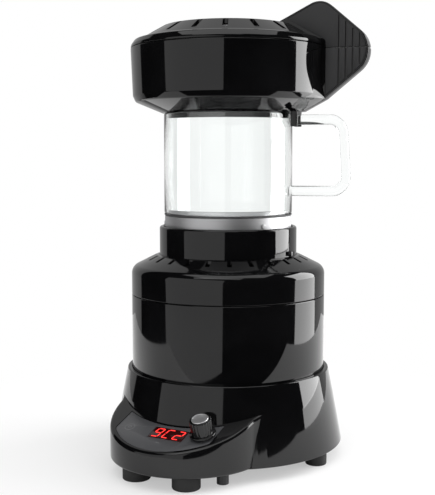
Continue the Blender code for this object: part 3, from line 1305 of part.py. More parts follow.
def crossing_height(line, radius):
    start, along = line
    return start.y + along.y * (radius - start.x) / along.x


def clipped(outline, height, keep_above):
    """Part of an outline above or below a height."""
    sign = 1 if keep_above else -1
    points = []
    for index, (x, y) in enumerate(outline):
        last_x, last_y = outline[index - 1]
        if (y - height) * (last_y - height) < 0:
            share = (height - last_y) / (y - last_y)
            points.append((last_x + (x - last_x) * share, height))
        if (y - height) * sign >= 0:
            points.append((x, y))
    return points


def grip_pads(parent, owner, upper):
    """Recesses in both faces of a fin half, and the ribbed matte pads that fill them."""
    floor = FIN_THICKNESS / 2 - PAD_DEPTH
    face = FIN_THICKNESS / 2 + PAD_PROUD
    level = "upper" if upper else "lower"
    for side, sign in (("front", -1), ("rear", 1)):
        low, high = sorted((sign * floor, sign * (face + OVERRUN)))
        cut(owner, sideways(pad_outline(upper, 0), low, high))
        low, high = sorted((sign * (floor + GAP), sign * face))
        pad = solid("grip_pad_" + level + "_" + side, sideways(pad_outline(upper, GAP), low, high),
                    "pad_grey", parent)
        low, high = sorted((sign * (face - GROOVE_DEPTH), sign * (face + OVERRUN)))
        grooves = []
        for index in range(GROOVE_COUNT):
            radius = GROOVE_FIRST_RADIUS + index * GROOVE_PITCH
            grooves.append(box((radius - GROOVE_WIDTH / 2, low, COLLECTOR_FOOT),
                               (radius + GROOVE_WIDTH / 2, high, LID_SEAM + FIN_PEAK_RISE)))
        cut(pad, gathered(grooves))


def fairing_outline(inside, half_width, reach, inner):
    """Level of the fairing: two places in the wall, the fin's two corners and a place behind them."""
    half = FIN_THICKNESS / 2
    root_x = math.sqrt(inside ** 2 - half_width ** 2)
    return [(root_x, -half_width), (reach, -half), (reach, half), (root_x, half_width), (inner, 0)]


def fairing():
    """Sweep of the cone and the foot of the band out to the fin's heel, as two shapes."""
    foot = COLLECTOR_FOOT + FAIRING_FOOT_RISE
    heel = COLLECTOR_FOOT + FIN_HEEL_RISE
    low = fairing_outline(CONE_FOOT_RADIUS, FAIRING_HALF_WIDTH, FAIRING_FOOT_RADIUS,
                          CONE_FOOT_RADIUS - EMBED - EMBED)
    middle = fairing_outline(CONE_RADIUS - EMBED / 2, FAIRING_HALF_WIDTH, FIN_HEEL_RADIUS,
                             FAIRING_INNER_RADIUS)
    high = fairing_outline(BAND_FOOT_RADIUS - EMBED / 2, FAIRING_TOP_HALF_WIDTH,
                           BAND_TOP_RADIUS + EMBED, BAND_FOOT_RADIUS - EMBED / 2)
    return [loft(low, middle, foot, heel), loft(middle, high, heel, heel + FAIRING_RISE)]


def collector_body(root):
    """Shallow bowl with its band, the saddle over the glass handle and the lower half of the fin."""
    foot = COLLECTOR_FOOT
    spigot = GLASS_BORE - GAP
    wall = COLLECTOR_WALL
    body = solid("collector_body", turned([
        (spigot, foot - COLLECTOR_SPIGOT), (spigot, foot), (CONE_FOOT_RADIUS, foot),
        (CONE_RADIUS, foot + CONE_RISE), (BAND_FOOT_RADIUS, foot + BAND_FOOT_RISE),
        (BAND_TOP_RADIUS, LID_SEAM - SEAM_BEVEL), (BAND_TOP_RADIUS - SEAM_BEVEL, LID_SEAM),
        (BAND_TOP_RADIUS - wall, LID_SEAM), (BAND_FOOT_RADIUS - wall, foot + BAND_FOOT_RISE),
        (CONE_RADIUS - wall / 2, foot + CONE_RISE + wall), (CONE_FOOT_RADIUS, foot + wall),
        (THROAT_RADIUS, foot + wall), (THROAT_RADIUS, foot - COLLECTOR_SPIGOT)], LARGE_SIDES),
        "gloss_black", root)
    saddle_top = foot + CONE_RISE / 2
    saddle = box((SADDLE_INNER, -SADDLE_HALF_WIDTH, foot - SADDLE_DROP),
                 (SADDLE_OUTER, SADDLE_HALF_WIDTH, saddle_top))
    join(body, saddle)
    slot_half = HANDLE_ROD_RADIUS + SADDLE_CLEARANCE
    slot_top = UPPER_BAR + HANDLE_ROD_RADIUS + SADDLE_ROOF_CLEARANCE
    cut(body, box((SADDLE_INNER - OVERRUN / 2, -slot_half, foot - SADDLE_DROP - OVERRUN),
                  (SADDLE_OUTER + OVERRUN, slot_half, slot_top)))
    for shape in fairing():
        join(body, shape)
    join(body, fin_half(False))
    grip_pads(root, body, False)


def chaff_riser(root):
    """Loose chimney that carries the chaff up into the bowl."""
    floor = COLLECTOR_FOOT + COLLECTOR_WALL + GAP
    bore = RISER_RADIUS - RISER_WALL
    shape = turned([
        (THROAT_RADIUS, floor), (RISER_FLANGE_RADIUS, floor), (RISER_FLANGE_RADIUS, floor + RISER_WALL),
        (THROAT_RADIUS + RISER_WALL, floor + RISER_WALL),
        (RISER_RADIUS, floor + RISER_CONE_RISE), (RISER_RADIUS, floor + RISER_HEIGHT),
        (bore, floor + RISER_HEIGHT), (bore, floor + RISER_CONE_RISE)], MEDIUM_SIDES)
    solid("chaff_riser", shape, "aluminium", root)


def lid_under(radius):
    """Height of the lid's sloping underside at a radius."""
    inner_top = LID_TOP - COLLECTOR_WALL
    inner_low = LID_SEAM + LID_SHOULDER_RISE - COLLECTOR_WALL
    low_radius = LID_SHOULDER_RADIUS - COLLECTOR_WALL / 2
    high_radius = LID_TOP_RADIUS - COLLECTOR_WALL
    share = (radius - high_radius) / (low_radius - high_radius)
    return inner_top + (inner_low - inner_top) * share


def collector_lid(root):
    """Slotted lid with the upper half of the fin, the chaff screen and the deflector."""
    wall = COLLECTOR_WALL
    bottom = LID_SEAM + GAP
    shoulder = LID_SEAM + LID_SHOULDER_RISE
    inner = BAND_TOP_RADIUS - wall
    spigot = inner - GAP - GAP
    low_radius = LID_SHOULDER_RADIUS - wall / 2
    high_radius = LID_TOP_RADIUS - wall
    lid = solid("collector_lid", turned([
        (0, LID_TOP), (LID_TOP_RADIUS - LID_TOP_ROUND, LID_TOP),
        (LID_TOP_RADIUS, LID_TOP - LID_TOP_ROUND / 2),
        (LID_SHOULDER_RADIUS, shoulder), (BAND_TOP_RADIUS - LID_CORNER, shoulder - LID_CORNER / 2),
        (BAND_TOP_RADIUS - LID_CORNER / 4, LID_SEAM + LID_CORNER),
        (BAND_TOP_RADIUS, bottom + SEAM_BEVEL), (BAND_TOP_RADIUS - SEAM_BEVEL, bottom),
        (spigot, bottom), (spigot, bottom - LID_SPIGOT_DEPTH),
        (spigot - LID_SPIGOT_WALL, bottom - LID_SPIGOT_DEPTH),
        (spigot - LID_SPIGOT_WALL, shoulder - LID_CORNER - wall),
        (low_radius, shoulder - wall), (high_radius, LID_TOP - wall), (0, LID_TOP - wall)], LARGE_SIDES),
        "gloss_black", root)

    def slot():
        return box((LID_SLOT_INNER, -LID_SLOT_WIDTH / 2, LID_SEAM),
                   (LID_SLOT_OUTER, LID_SLOT_WIDTH / 2, LID_TOP + OVERRUN))

    cut(lid, spaced(slot, LID_SLOTS, 180 / LID_SLOTS))
    join(lid, fin_half(True))
    grip_pads(root, lid, True)
    inner_edge = high_radius + GAP
    outer_edge = low_radius - GAP
    top_inner = lid_under(inner_edge) - SCREEN_SLACK
    top_outer = lid_under(outer_edge) - SCREEN_SLACK
    screen = solid("chaff_screen", turned([
        (inner_edge, top_inner), (outer_edge, top_outer), (outer_edge, top_outer - SCREEN_THICKNESS),
        (inner_edge, top_inner - SCREEN_THICKNESS)], LARGE_SIDES), "steel", root)

    def window():
        return box((inner_edge + SCREEN_RIM, -SCREEN_WINDOW_WIDTH / 2, LID_SEAM),
                   (outer_edge - SCREEN_RIM, SCREEN_WINDOW_WIDTH / 2, LID_TOP))

    cut(screen, spaced(window, SCREEN_WINDOWS))
    top = LID_TOP - wall - GAP
    rim = top - DEFLECTOR_DROP - DEFLECTOR_SLOPE
    deflector = turned([
        (0, rim + DEFLECTOR_SLOPE - DEFLECTOR_WALL), (DEFLECTOR_RADIUS, rim - DEFLECTOR_WALL),
        (DEFLECTOR_RADIUS, rim), (DEFLECTOR_POST_RADIUS, rim + DEFLECTOR_SLOPE), (DEFLECTOR_POST_RADIUS, top),
        (0, top)], MEDIUM_SIDES)
    solid("chaff_deflector", deflector, "aluminium", root)


def shade(thing):
    mesh = thing.data
    mesh.shade_smooth()
    mesh.set_sharp_from_angle(angle=SMOOTH_ANGLE)


def main():
    clear_scene()
    reach = max(radius for radius, _ in fin_outline()) * math.cos(HANDLE_TURN)
    reach += FIN_THICKNESS / 2 * math.sin(HANDLE_TURN)
    middle = ((FLARE_FOOT_RADIUS - reach) / 2, (CONSOLE_REACH - FLARE_FOOT_RADIUS) / 2, 0)
    root = make_empty("roaster", None, middle)
    panel = make_panel_frame(root)
    base_housing(root, panel)
    base_plate(root)
    base_screws(root)
    feet(root)
    cord_gland(root)
    power_electronics(root)
    control_panel(panel)
    knob_assembly(panel)
    body_shell(root)
    upper_housing(root)
    chamber_collar(root)
    chamber_seat(root)
    blower_floor(root)
    blower_motor(root)
    impeller(root)
    blower_case(root)
    heater(root)
    leads(root)
    handle_side = make_empty("handle_side", root, turn=HANDLE_TURN)
    chamber_ring(handle_side)
    glass_chamber(handle_side)
    collector_body(handle_side)
    chaff_riser(handle_side)
    collector_lid(handle_side)
    for thing in bpy.data.objects:
        if thing.type == "MESH":
            shade(thing)


main()
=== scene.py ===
# %% [markdown]
# # Dressing a hot-air coffee roaster
#
# The roaster's solids are packed as a fixed frame, and this lesson gives them the fine surfaces and the
# finishes of the real thing. Each piece is drawn where the solid says, in millimetres from the roaster's
# own upright axis, and rides on the body that carries it. Round pieces are turned on a lathe, flat ones
# are raised from an outline, and both are cut and joined as a workshop would.

# %% Load the frame
import json
import math

import bpy
from mathutils import Matrix, Vector


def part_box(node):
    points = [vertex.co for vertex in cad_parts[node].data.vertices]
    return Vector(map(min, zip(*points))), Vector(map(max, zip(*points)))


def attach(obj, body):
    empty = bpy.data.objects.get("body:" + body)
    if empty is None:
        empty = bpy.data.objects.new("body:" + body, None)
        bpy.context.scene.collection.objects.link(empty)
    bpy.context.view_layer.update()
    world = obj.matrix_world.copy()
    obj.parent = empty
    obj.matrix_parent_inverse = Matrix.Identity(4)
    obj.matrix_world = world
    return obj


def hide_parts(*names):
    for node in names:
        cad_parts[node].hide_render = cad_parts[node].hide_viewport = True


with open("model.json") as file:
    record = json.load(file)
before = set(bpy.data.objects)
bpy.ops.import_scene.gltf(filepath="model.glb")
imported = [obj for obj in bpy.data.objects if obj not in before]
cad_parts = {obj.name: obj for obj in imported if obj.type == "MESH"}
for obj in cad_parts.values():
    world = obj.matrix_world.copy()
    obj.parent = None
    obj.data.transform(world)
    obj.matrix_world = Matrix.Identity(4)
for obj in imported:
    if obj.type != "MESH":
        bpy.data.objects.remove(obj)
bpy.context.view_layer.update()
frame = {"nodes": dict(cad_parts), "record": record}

# %% [markdown]
# The casing is round, so the middle of its box is the axis that everything is turned about. `place`
# turns a point in millimetres from that axis into metres in the frame.

# %% Find the upright axis
MM = 0.001
casing_low, casing_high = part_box("body_shell")
AXIS = Vector(((casing_low[0] + casing_high[0]) / 2, (casing_low[1] + casing_high[1]) / 2, 0))


def place(x, y, z):
    return AXIS + Vector((x, y, z)) * MM


print("axis at", [round(value, 5) for value in AXIS])

# %% [markdown]
# A lathe piece starts as one vertex. It is pushed from corner to corner of the outline, which leaves a
# chain of edges behind it, and the spin operator then sweeps the chain round the axis. Every real edge
# of a moulding has a small round, so the outlines list a radius at each corner, and `soft_corners`
# works out the arc there.

# %% Outlines
def arc_points(centre_x, centre_y, radius, start, end, steps):
    """Points on an arc from start to end degrees."""
    points = []
    for step in range(steps + 1):
        angle = math.radians(start + (end - start) * step / steps)
        points.append((centre_x + radius * math.cos(angle), centre_y + radius * math.sin(angle)))
    return points


def soft_corners(corners, steps=5):
    """Outline through (x, y, radius) corners, each rounded by an arc."""
    points = []
    for index, (x, y, radius) in enumerate(corners):
        here = Vector((x, y))
        if radius == 0:
            points.append((x, y))
            continue
        before = (Vector(corners[index - 1][:2]) - here).normalized()
        after = (Vector(corners[(index + 1) % len(corners)][:2]) - here).normalized()
        half = before.angle(after) / 2
        centre = here + (before + after).normalized() * radius / math.sin(half)
        start = here + before * radius / math.tan(half) - centre
        end = here + after * radius / math.tan(half) - centre
        turn = math.copysign(math.pi - 2 * half, start.cross(end))
        for step in range(steps + 1):
            x_part, y_part = Matrix.Rotation(turn * step / steps, 2) @ start
            points.append((centre.x + x_part, centre.y + y_part))
    return points


print("a soft square corner:", len(soft_corners([(0, 0, 1), (4, 0, 0), (4, 4, 0)])), "points")

# %% Lathe, press and saw
LATHE_STEPS = 144
WELD = 0.000002


def pick(*things):
    """Select these objects alone, with the last one active."""
    if bpy.context.object and bpy.context.object.mode != "OBJECT":
        bpy.ops.object.mode_set(mode="OBJECT")
    bpy.ops.object.select_all(action="DESELECT")
    for thing in things:
        thing.select_set(True)
        bpy.context.view_layer.objects.active = thing
    return things[-1] if things else None


def draw_chain(name, points):
    """A chain of edges through the points, pushed out from one vertex."""
    pick()
    bpy.ops.mesh.primitive_plane_add(size=MM, location=points[0])
    piece = bpy.context.object
    piece.name = piece.data.name = name
    bpy.ops.object.transform_apply(location=True, rotation=True, scale=True)
    bpy.ops.object.mode_set(mode="EDIT")
    bpy.ops.mesh.select_all(action="SELECT")
    bpy.ops.mesh.merge(type="CENTER")
    for here, there in zip(points, points[1:]):
        step = Vector(there) - Vector(here)
        bpy.ops.mesh.extrude_vertices_move(TRANSFORM_OT_translate={"value": step})
    bpy.ops.mesh.select_all(action="SELECT")
    bpy.ops.mesh.remove_doubles(threshold=WELD)
    return piece


def close_up():
    """Weld what is in edit mode, turn its faces outwards and leave edit mode."""
    bpy.ops.mesh.select_all(action="SELECT")
    bpy.ops.mesh.remove_doubles(threshold=WELD)
    bpy.ops.mesh.normals_make_consistent(inside=False)
    bpy.ops.object.mode_set(mode="OBJECT")


def turn(name, outline, x=0, y=0, steps=LATHE_STEPS):
    """Lathe piece from (radius, height) in millimetres. An outline that leaves the axis is a ring."""
    if outline[0][0] > 0:
        outline = outline + outline[:1]
    piece = draw_chain(name, [place(x + radius, y, height) for radius, height in outline])
    bpy.ops.mesh.spin(steps=steps, angle=2 * math.pi, center=place(x, y, 0), axis=(0, 0, 1))
    close_up()
    return piece


def raise_slab(name, points, lift):
    """Flat outline, filled and pushed out along a vector."""
    piece = draw_chain(name, [*points, points[0]])
    bpy.ops.mesh.edge_face_add()
    bpy.ops.mesh.extrude_region_move(TRANSFORM_OT_translate={"value": lift})
    close_up()
    return piece


def upright_slab(name, outline, low, high):
    """Slab from an (x, y) outline in millimetres, between two heights."""
    return raise_slab(name, [place(x, y, low) for x, y in outline], (0, 0, (high - low) * MM))


def sideways_slab(name, outline, low, high):
    """Slab from a (radius, height) outline in millimetres, between two places along Y."""
    return raise_slab(name, [place(x, low, z) for x, z in outline], (0, (high - low) * MM, 0))


def loft(name, loops):
    """Closed outlines in metres, each bridged to the next and capped at both ends."""
    rings = [draw_chain(name, [*loop, loop[0]]) for loop in loops]
    bpy.ops.object.mode_set(mode="OBJECT")
    pick(*reversed(rings))
    bpy.ops.object.join()
    bpy.ops.object.mode_set(mode="EDIT")
    bpy.ops.mesh.select_all(action="SELECT")
    bpy.ops.mesh.bridge_edge_loops()
    bpy.ops.mesh.select_all(action="SELECT")
    bpy.ops.mesh.fill_holes(sides=0)
    close_up()
    return bpy.context.object


def saw(piece, point, direction):
    """Cut away all that lies beyond a plane."""
    pick(piece)
    bpy.ops.object.mode_set(mode="EDIT")
    bpy.ops.mesh.select_all(action="SELECT")
    bpy.ops.mesh.bisect(plane_co=point, plane_no=direction, use_fill=True, clear_outer=True)
    close_up()
    return piece


def fit(piece, tool, operation):
    """Join a tool to a piece, or cut it away."""
    pick(piece)
    bpy.ops.object.modifier_add(type="BOOLEAN")
    modifier = piece.modifiers[-1]
    modifier.operation = operation
    modifier.solver = "EXACT"
    modifier.object = tool
    bpy.ops.object.modifier_apply(modifier=modifier.name)
    bpy.data.objects.remove(tool, do_unlink=True)
    return piece


def round_edges(piece, width, segments=3, limit=40):
    """Small round on every edge that turns more than the limit in degrees."""
    pick(piece)
    bpy.ops.object.modifier_add(type="BEVEL")
    modifier = piece.modifiers[-1]
    modifier.width = width * MM
    modifier.segments = segments
    modifier.limit_method = "ANGLE"
    modifier.angle_limit = math.radians(limit)
    bpy.ops.object.modifier_apply(modifier=modifier.name)
    return piece


def ring_of(piece, count, pitch, centre=AXIS):
    """Copy a piece round an upright axis, all in one mesh."""
    pick(piece)
    bpy.ops.object.mode_set(mode="EDIT")
    bpy.ops.mesh.select_all(action="SELECT")
    for _ in range(count - 1):
        bpy.ops.mesh.duplicate()
        bpy.ops.transform.rotate(value=math.radians(pitch), orient_axis="Z", center_override=centre)
    bpy.ops.object.mode_set(mode="OBJECT")
    return piece


def turn_about_axis(piece, degrees, centre=AXIS):
    pick(piece)
    bpy.ops.object.mode_set(mode="EDIT")
    bpy.ops.mesh.select_all(action="SELECT")
    bpy.ops.transform.rotate(value=math.radians(degrees), orient_axis="Z", center_override=centre)
    bpy.ops.object.mode_set(mode="OBJECT")
    return piece


HANDLE_TURN = Matrix.Translation(AXIS) @ Matrix.Rotation(math.radians(11), 4, "Z") @ Matrix.Translation(-AXIS)
dressed = []


def hand_over(piece, body, slot, *nodes, smooth=32):
    """Shade a finished piece, put it on its body and let it stand for its solids."""
    pick(piece)
    if body in ("chamber", "collector", "lid"):
        piece.matrix_world = HANDLE_TURN
        bpy.ops.object.transform_apply(location=True, rotation=True, scale=True)
    bpy.ops.object.shade_smooth_by_angle(angle=math.radians(smooth))
    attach(piece, body)
    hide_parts(*nodes)
    dressed.append((piece, slot))
    print(piece.name, "rides on", body, "with", len(piece.data.polygons), "faces")
    return piece


# %% [markdown]
# ## The flared base and its console
#
# One glossy moulding makes the skirt and the console. The skirt leans in twice on its way up and ends
# in a lip that holds the casing. It is turned. The console is a bow in plan, so it is lofted from a
# bow at the foot to a slightly narrower one above, and a sloping saw cut makes the plane of its rim.

# %% Skirt
TILT = math.radians(18.8)
SLOPE = Vector((0, -math.sin(TILT), math.cos(TILT)))

skirt = turn("base_housing_shell", soft_corners([
    (83.4, 10, 0.5), (77.1, 44, 60), (73.2, 63, 1.0), (70.3, 63, 0.3), (70.3, 56.7, 0),
    (63.5, 56.7, 0), (63.5, 54.2, 0), (72.5, 54.2, 0), (74.6, 44, 0), (80.9, 10, 0.3)]))
print("skirt", len(skirt.data.vertices), "vertices")

# %% Console
def console_plan(inset=0, lean_x=0, lean_y=0, back=None):
    """Bow of the console in plan, drawn in by an inset, with its wing corners leant inwards."""
    front = arc_points(0, -56.5, 53.5 - inset, -90, -4, 26)
    right = [(x, y, 0) for x, y in front[1:]]
    right.append((55 - inset, -56, 3))
    if back:
        right.append((55 - inset, -back, 0))
    else:
        right += [(69.5 - lean_x - inset, -40 - lean_y, 0), (50, -32, 0)]
    left = [(-x, y, radius) for x, y, radius in reversed(right)]
    return soft_corners([(*front[0], 0), *right, *left], 6)


rim_front = place(0, -110, 25.5)
lower_bow = [place(x, y, 10) for x, y in console_plan()]
upper_bow = [place(x, y, 60) for x, y in console_plan(0, 13.3, 8.8)]
console = saw(loft("console", [lower_bow, upper_bow]), rim_front, SLOPE)
round_edges(console, 2.0, 6, 50)
core = turn("core", [(0, 6), (81.9, 6), (81.9, 10), (75.6, 44), (73.5, 54.2), (73.5, 70), (0, 70)])
fit(console, core, "DIFFERENCE")
base = fit(skirt, console, "UNION")
cavity = upright_slab("cavity", console_plan(2.5, back=50), 6, 60)
saw(cavity, rim_front - SLOPE * 3.5 * MM, SLOPE)
fit(base, cavity, "DIFFERENCE")
print("base", len(base.data.vertices), "vertices")

# %% [markdown]
# The control film lies in a shallow recess, square to the slope. A panel frame is set up on the rim
# plane at the middle of the display, and everything on the console is drawn flat and then tilted
# into it.

# %% Recess, windows and cable hole
PANEL = (Matrix.Translation(place(4, -88, 25.5 + 22 * math.tan(TILT)))
         @ Matrix.Rotation(TILT, 4, "X"))
KNOB_PLACE = (24.5, 3.5 / math.cos(TILT))


def film_plan(inset=0):
    """Outline of the control film on the panel: a bow in front and the skirt behind."""
    front_radius, back_radius, side = 50.3 - inset, 79.7 + inset, 37.0 - inset
    front_angle = math.degrees(math.acos(side / front_radius))
    back_angle = math.degrees(math.acos(side / back_radius))
    front = [(x, y, 0) for x, y in arc_points(0, -56.5, front_radius, front_angle - 180, -front_angle, 40)]
    front[0] = (*front[0][:2], 4)
    front[-1] = (*front[-1][:2], 4)
    back = [(x, y, 0) for x, y in arc_points(0, 0, back_radius, -back_angle, back_angle - 180, 30)]
    return [(x - 4, (y + 88) / math.cos(TILT)) for x, y in soft_corners(front + back)]


def panel_slab(name, outline, low, high):
    """Slab drawn flat about the display's middle, then tilted into the panel."""
    points = [Vector((x, y, low)) * MM for x, y in outline]
    piece = raise_slab(name, points, (0, 0, (high - low) * MM))
    piece.matrix_world = PANEL
    bpy.ops.object.transform_apply(location=True, rotation=True, scale=True)
    return piece


def box_outline(half_x, half_y, corner=0.0, x=0.0, y=0.0):
    corners = [(x - half_x, y - half_y), (x + half_x, y - half_y), (x + half_x, y + half_y), (x - half_x, y + half_y)]
    return soft_corners([(*point, corner) for point in corners])


def disc_outline(radius, x=0.0, y=0.0, steps=48):
    return arc_points(x, y, radius, 0, 360, steps)[:-1]


fit(base, panel_slab("recess", film_plan(), -1.0, 4), "DIFFERENCE")
fit(base, panel_slab("window_hole", box_outline(13.1, 6.05, 0.5), -8, 4), "DIFFERENCE")
fit(base, panel_slab("bush_hole", disc_outline(4.9, *KNOB_PLACE), -8, 4), "DIFFERENCE")
cable_hole = sideways_slab("cable_hole", disc_outline(5.5, 0, 25), 60, 90)
fit(base, cable_hole, "DIFFERENCE")
hand_over(base, "base", "gloss_black", "base_housing")

# %% [markdown]
# ## Film, display and digits
#
# The film is a thin satin sheet with a window and a hole for the knob's bush. The display behind the
# window has three seven-bar digits. Each bar is a flat six-sided lozenge, and a table says which bars
# of a digit are lit.

# %% Control film
film = panel_slab("control_film", film_plan(0.3), -0.7, -0.2)
fit(film, panel_slab("window_hole", box_outline(13.1, 6.05, 0.5), -3, 3), "DIFFERENCE")
fit(film, panel_slab("bush_hole", disc_outline(4.9, *KNOB_PLACE), -3, 3), "DIFFERENCE")
round_edges(film, 0.12, 2)
hand_over(film, "base", "panel_film", "panel_overlay")

window = panel_slab("display_glass", box_outline(12.8, 5.75, 0.4), -3.5, -0.2)
round_edges(window, 0.15, 2)
hand_over(window, "base", "red_window", "display_window")

# %% Lit digits
BAR, DIGIT_WIDE, DIGIT_TALL, LEAN = 0.82, 4.6, 8.8, 0.2
LIT_BARS = {"9": "abcdfg", "C": "adef", "2": "abdeg"}
BAR_ENDS = {
    "a": ((0, 1), (1, 1)), "b": ((1, 1), (1, 0.5)), "c": ((1, 0.5), (1, 0)), "d": ((0, 0), (1, 0)),
    "e": ((0, 0.5), (0, 0)), "f": ((0, 1), (0, 0.5)), "g": ((0, 0.5), (1, 0.5))}


def bar_outline(first, second, digit_x):
    """Lozenge between two corners of a digit, leant to the right as the display's digits are."""
    ends = [Vector((DIGIT_WIDE * across, DIGIT_TALL * (up - 0.5))) for across, up in (first, second)]
    along = (ends[1] - ends[0]).normalized()
    side = Vector((-along.y, along.x)) * BAR / 2
    ends = [ends[0] + along * BAR * 0.22, ends[1] - along * BAR * 0.22]
    tip = along * BAR / 2
    corners = [ends[0], ends[0] + tip - side, ends[1] - tip - side, ends[1], ends[1] - tip + side,
               ends[0] + tip + side]
    return [(digit_x + point.x + point.y * LEAN, point.y) for point in corners]


bars = []
for index, digit in enumerate("9C2"):
    for bar in LIT_BARS[digit]:
        outline = bar_outline(*BAR_ENDS[bar], -10.3 + index * 8.0)
        bars.append(panel_slab("display_digits", outline, -0.21, -0.13))
pick(*bars)
bpy.ops.object.join()
digits = bpy.context.object
digits.name = digits.data.name = "display_digits"
hand_over(digits, "base", "red_window")

# %% Printed marks on the film
mark_x, mark_y = -27.5 - 4, 1.0
halo = panel_slab("film_marks", disc_outline(3.6, mark_x, mark_y), -0.22, -0.17)
fit(halo, panel_slab("halo_hole", disc_outline(3.2, mark_x, mark_y), -1, 1), "DIFFERENCE")
marks = [panel_slab("mark", disc_outline(1.3, mark_x, mark_y + 0.3, 24), -0.22, -0.17)]
fit(marks[0], panel_slab("mark_hole", disc_outline(0.9, mark_x, mark_y + 0.3, 24), -1, 1), "DIFFERENCE")
for x, tall in ((-3.8, 0.5), (-2.9, 0.8), (-2.0, 1.1), (-1.1, 0.8)):
    marks.append(panel_slab("mark", box_outline(0.22, tall / 2, 0.05, x, -10.6), -0.22, -0.17))
pick(*marks, halo)
bpy.ops.object.join()
hand_over(bpy.context.object, "base", "panel_film")

# %% [markdown]
# ## Knob
#
# The knob has a thin skirt, a side with eighteen shallow flutes for the fingers, and a bright cap let
# into its top. The flutes are a wavy outline raised in one go, and its top edge is rounded over.

# %% Fluted knob and cap
def on_knob(points):
    return [(x + KNOB_PLACE[0], y + KNOB_PLACE[1]) for x, y in points]


flutes = []
for index in range(18 * 8):
    angle = 2 * math.pi * index / (18 * 8)
    wave = abs(math.sin(angle * 9)) ** 0.7
    flutes.append(((6.75 + 0.55 * wave) * math.cos(angle), (6.75 + 0.55 * wave) * math.sin(angle)))


def panel_turn(name, outline):
    """Lathe piece about the knob's own axis."""
    piece = turn(name, outline, -AXIS.x / MM, -AXIS.y / MM, 72)
    piece.matrix_world = PANEL @ Matrix.Translation((KNOB_PLACE[0] * MM, KNOB_PLACE[1] * MM, 0))
    bpy.ops.object.transform_apply(location=True, rotation=True, scale=True)
    return piece


knob = panel_turn("knob_body", soft_corners([
    (0, 1.4, 0), (8.8, 1.4, 0.3), (8.8, 2.9, 0.6), (7.2, 3.3, 0), (7.0, 5, 0), (0, 5, 0)]))
grip = panel_slab("knob_grip", on_knob(flutes), 2.4, 12.7)
round_edges(grip, 0.5, 3, 60)
fit(knob, grip, "UNION")
fit(knob, panel_slab("cap_socket", on_knob(disc_outline(5.9)), 12.1, 14), "DIFFERENCE")
hand_over(knob, "knob_turn", "gloss_black", "knob")
cap = panel_turn("knob_cap_disc", soft_corners([
    (0, 12.4, 0), (5.6, 12.4, 0), (5.6, 13.6, 0.25), (4.9, 13.6, 0.15), (4.75, 13.45, 0.15), (0, 13.45, 0)]))
hand_over(cap, "knob_turn", "chrome", "knob_cap")

# %% [markdown]
# ## Feet and cable bush
#
# Six rubber feet are the same turning in two sizes, so one outline is scaled and each foot gets a
# copy of its own. The bush in the rear wall is turned flat and tipped over.

# %% Feet
def foot_outline(radius):
    return soft_corners([
        (0, 0.4, 0), (radius - 2.6, 0.4, 0), (radius - 2.2, 0, 0.2), (radius, 0, 0.9), (radius, 9.7, 0.3), (0, 9.7, 0)])


for name, x, y, radius in (("front", 19.5, -91, 9.5), ("side", 72.5, -3, 7.5), ("rear", 42, 60, 7.5)):
    for side, sign in (("left", -1), ("right", 1)):
        foot = turn(f"rubber_foot_{name}_{side}", foot_outline(radius), sign * x, y, 64)
        hand_over(foot, "base", "rubber", f"foot_{name}_{side}")

# %% Cable bush
bush = turn("cable_bush", soft_corners([
    (3.2, 74.1, 0), (7.5, 74.1, 0.2), (7.5, 76.0, 0.2), (5.2, 76.0, 0), (5.2, 83.2, 0.6), (3.2, 83.2, 0.5)]),
    -AXIS.x / MM, -AXIS.y / MM, 48)
bush.matrix_world = Matrix.Translation(place(0, 0, 25)) @ Matrix.Rotation(math.radians(-90), 4, "X")
bpy.ops.object.transform_apply(location=True, rotation=True, scale=True)
hand_over(bush, "base", "rubber", "cord_gland")

# %% [markdown]
# ## Casing and shoulder
#
# The straight casing meets the shoulder in a fine seam with a round on both lips. The shoulder rolls
# in to the collar and carries a ring of exhaust slots. The slot is modelled once, with round ends, and
# copied round the axis before one cut.

# %% Casing
casing = turn("casing", soft_corners([
    (70, 57, 0.3), (70, 116, 0.6), (67.5, 116, 0.2), (67.5, 74.7, 0), (63.5, 74.7, 0), (63.5, 72.2, 0),
    (67.5, 68.2, 0), (67.5, 57, 0)]))
hand_over(casing, "base", "gloss_black", "body_shell")

# %% Shoulder with its vents
shoulder = turn("shoulder_shell", soft_corners([
    (69.4, 116.3, 0), (70, 116.8, 0.3), (70, 135.6, 7), (52.5, 144.2, 1.5), (50, 144.8, 0), (50, 142.1, 0),
    (52, 141.6, 0), (67.5, 134, 5), (67.5, 118.1, 0), (65.4, 116.3, 0), (65.4, 110, 0), (67.2, 110, 0),
    (67.2, 116.3, 0)], 12))
vent = upright_slab("vent", box_outline(3.3, 1.6, 0.5, 55.3, 0), 129, 150)
fit(shoulder, ring_of(vent, 24, 15), "DIFFERENCE")
hand_over(shoulder, "base", "gloss_black", "upper_housing")

# %% Collar
collar = turn("collar", soft_corners([
    (47, 165.2, 0.9), (47, 150, 0), (43, 150, 0), (43, 147.5, 0), (47, 145.5, 0), (47, 135.2, 0),
    (54.5, 135.2, 0.3), (54.5, 137.2, 0.3), (49.7, 137.2, 0), (49.7, 165.2, 1.7)]))
lug = upright_slab("lug", box_outline(1.9, 3, 0.8, 50.4, 0), 145.3, 148.7)
round_edges(lug, 0.4)
fit(collar, lug, "UNION")
hand_over(collar, "base", "gloss_black", "chamber_collar")
seat = turn("air_seat", soft_corners([
    (34.6, 140.8, 0), (36.1, 140.8, 0), (36.1, 147.9, 0.5), (39.1, 150.3, 0.5), (46.7, 150.3, 0.2),
    (46.7, 152.7, 0.3), (40.6, 152.7, 0.5), (34.6, 148.5, 0.5)]))
hand_over(seat, "base", "steel", "chamber_seat")

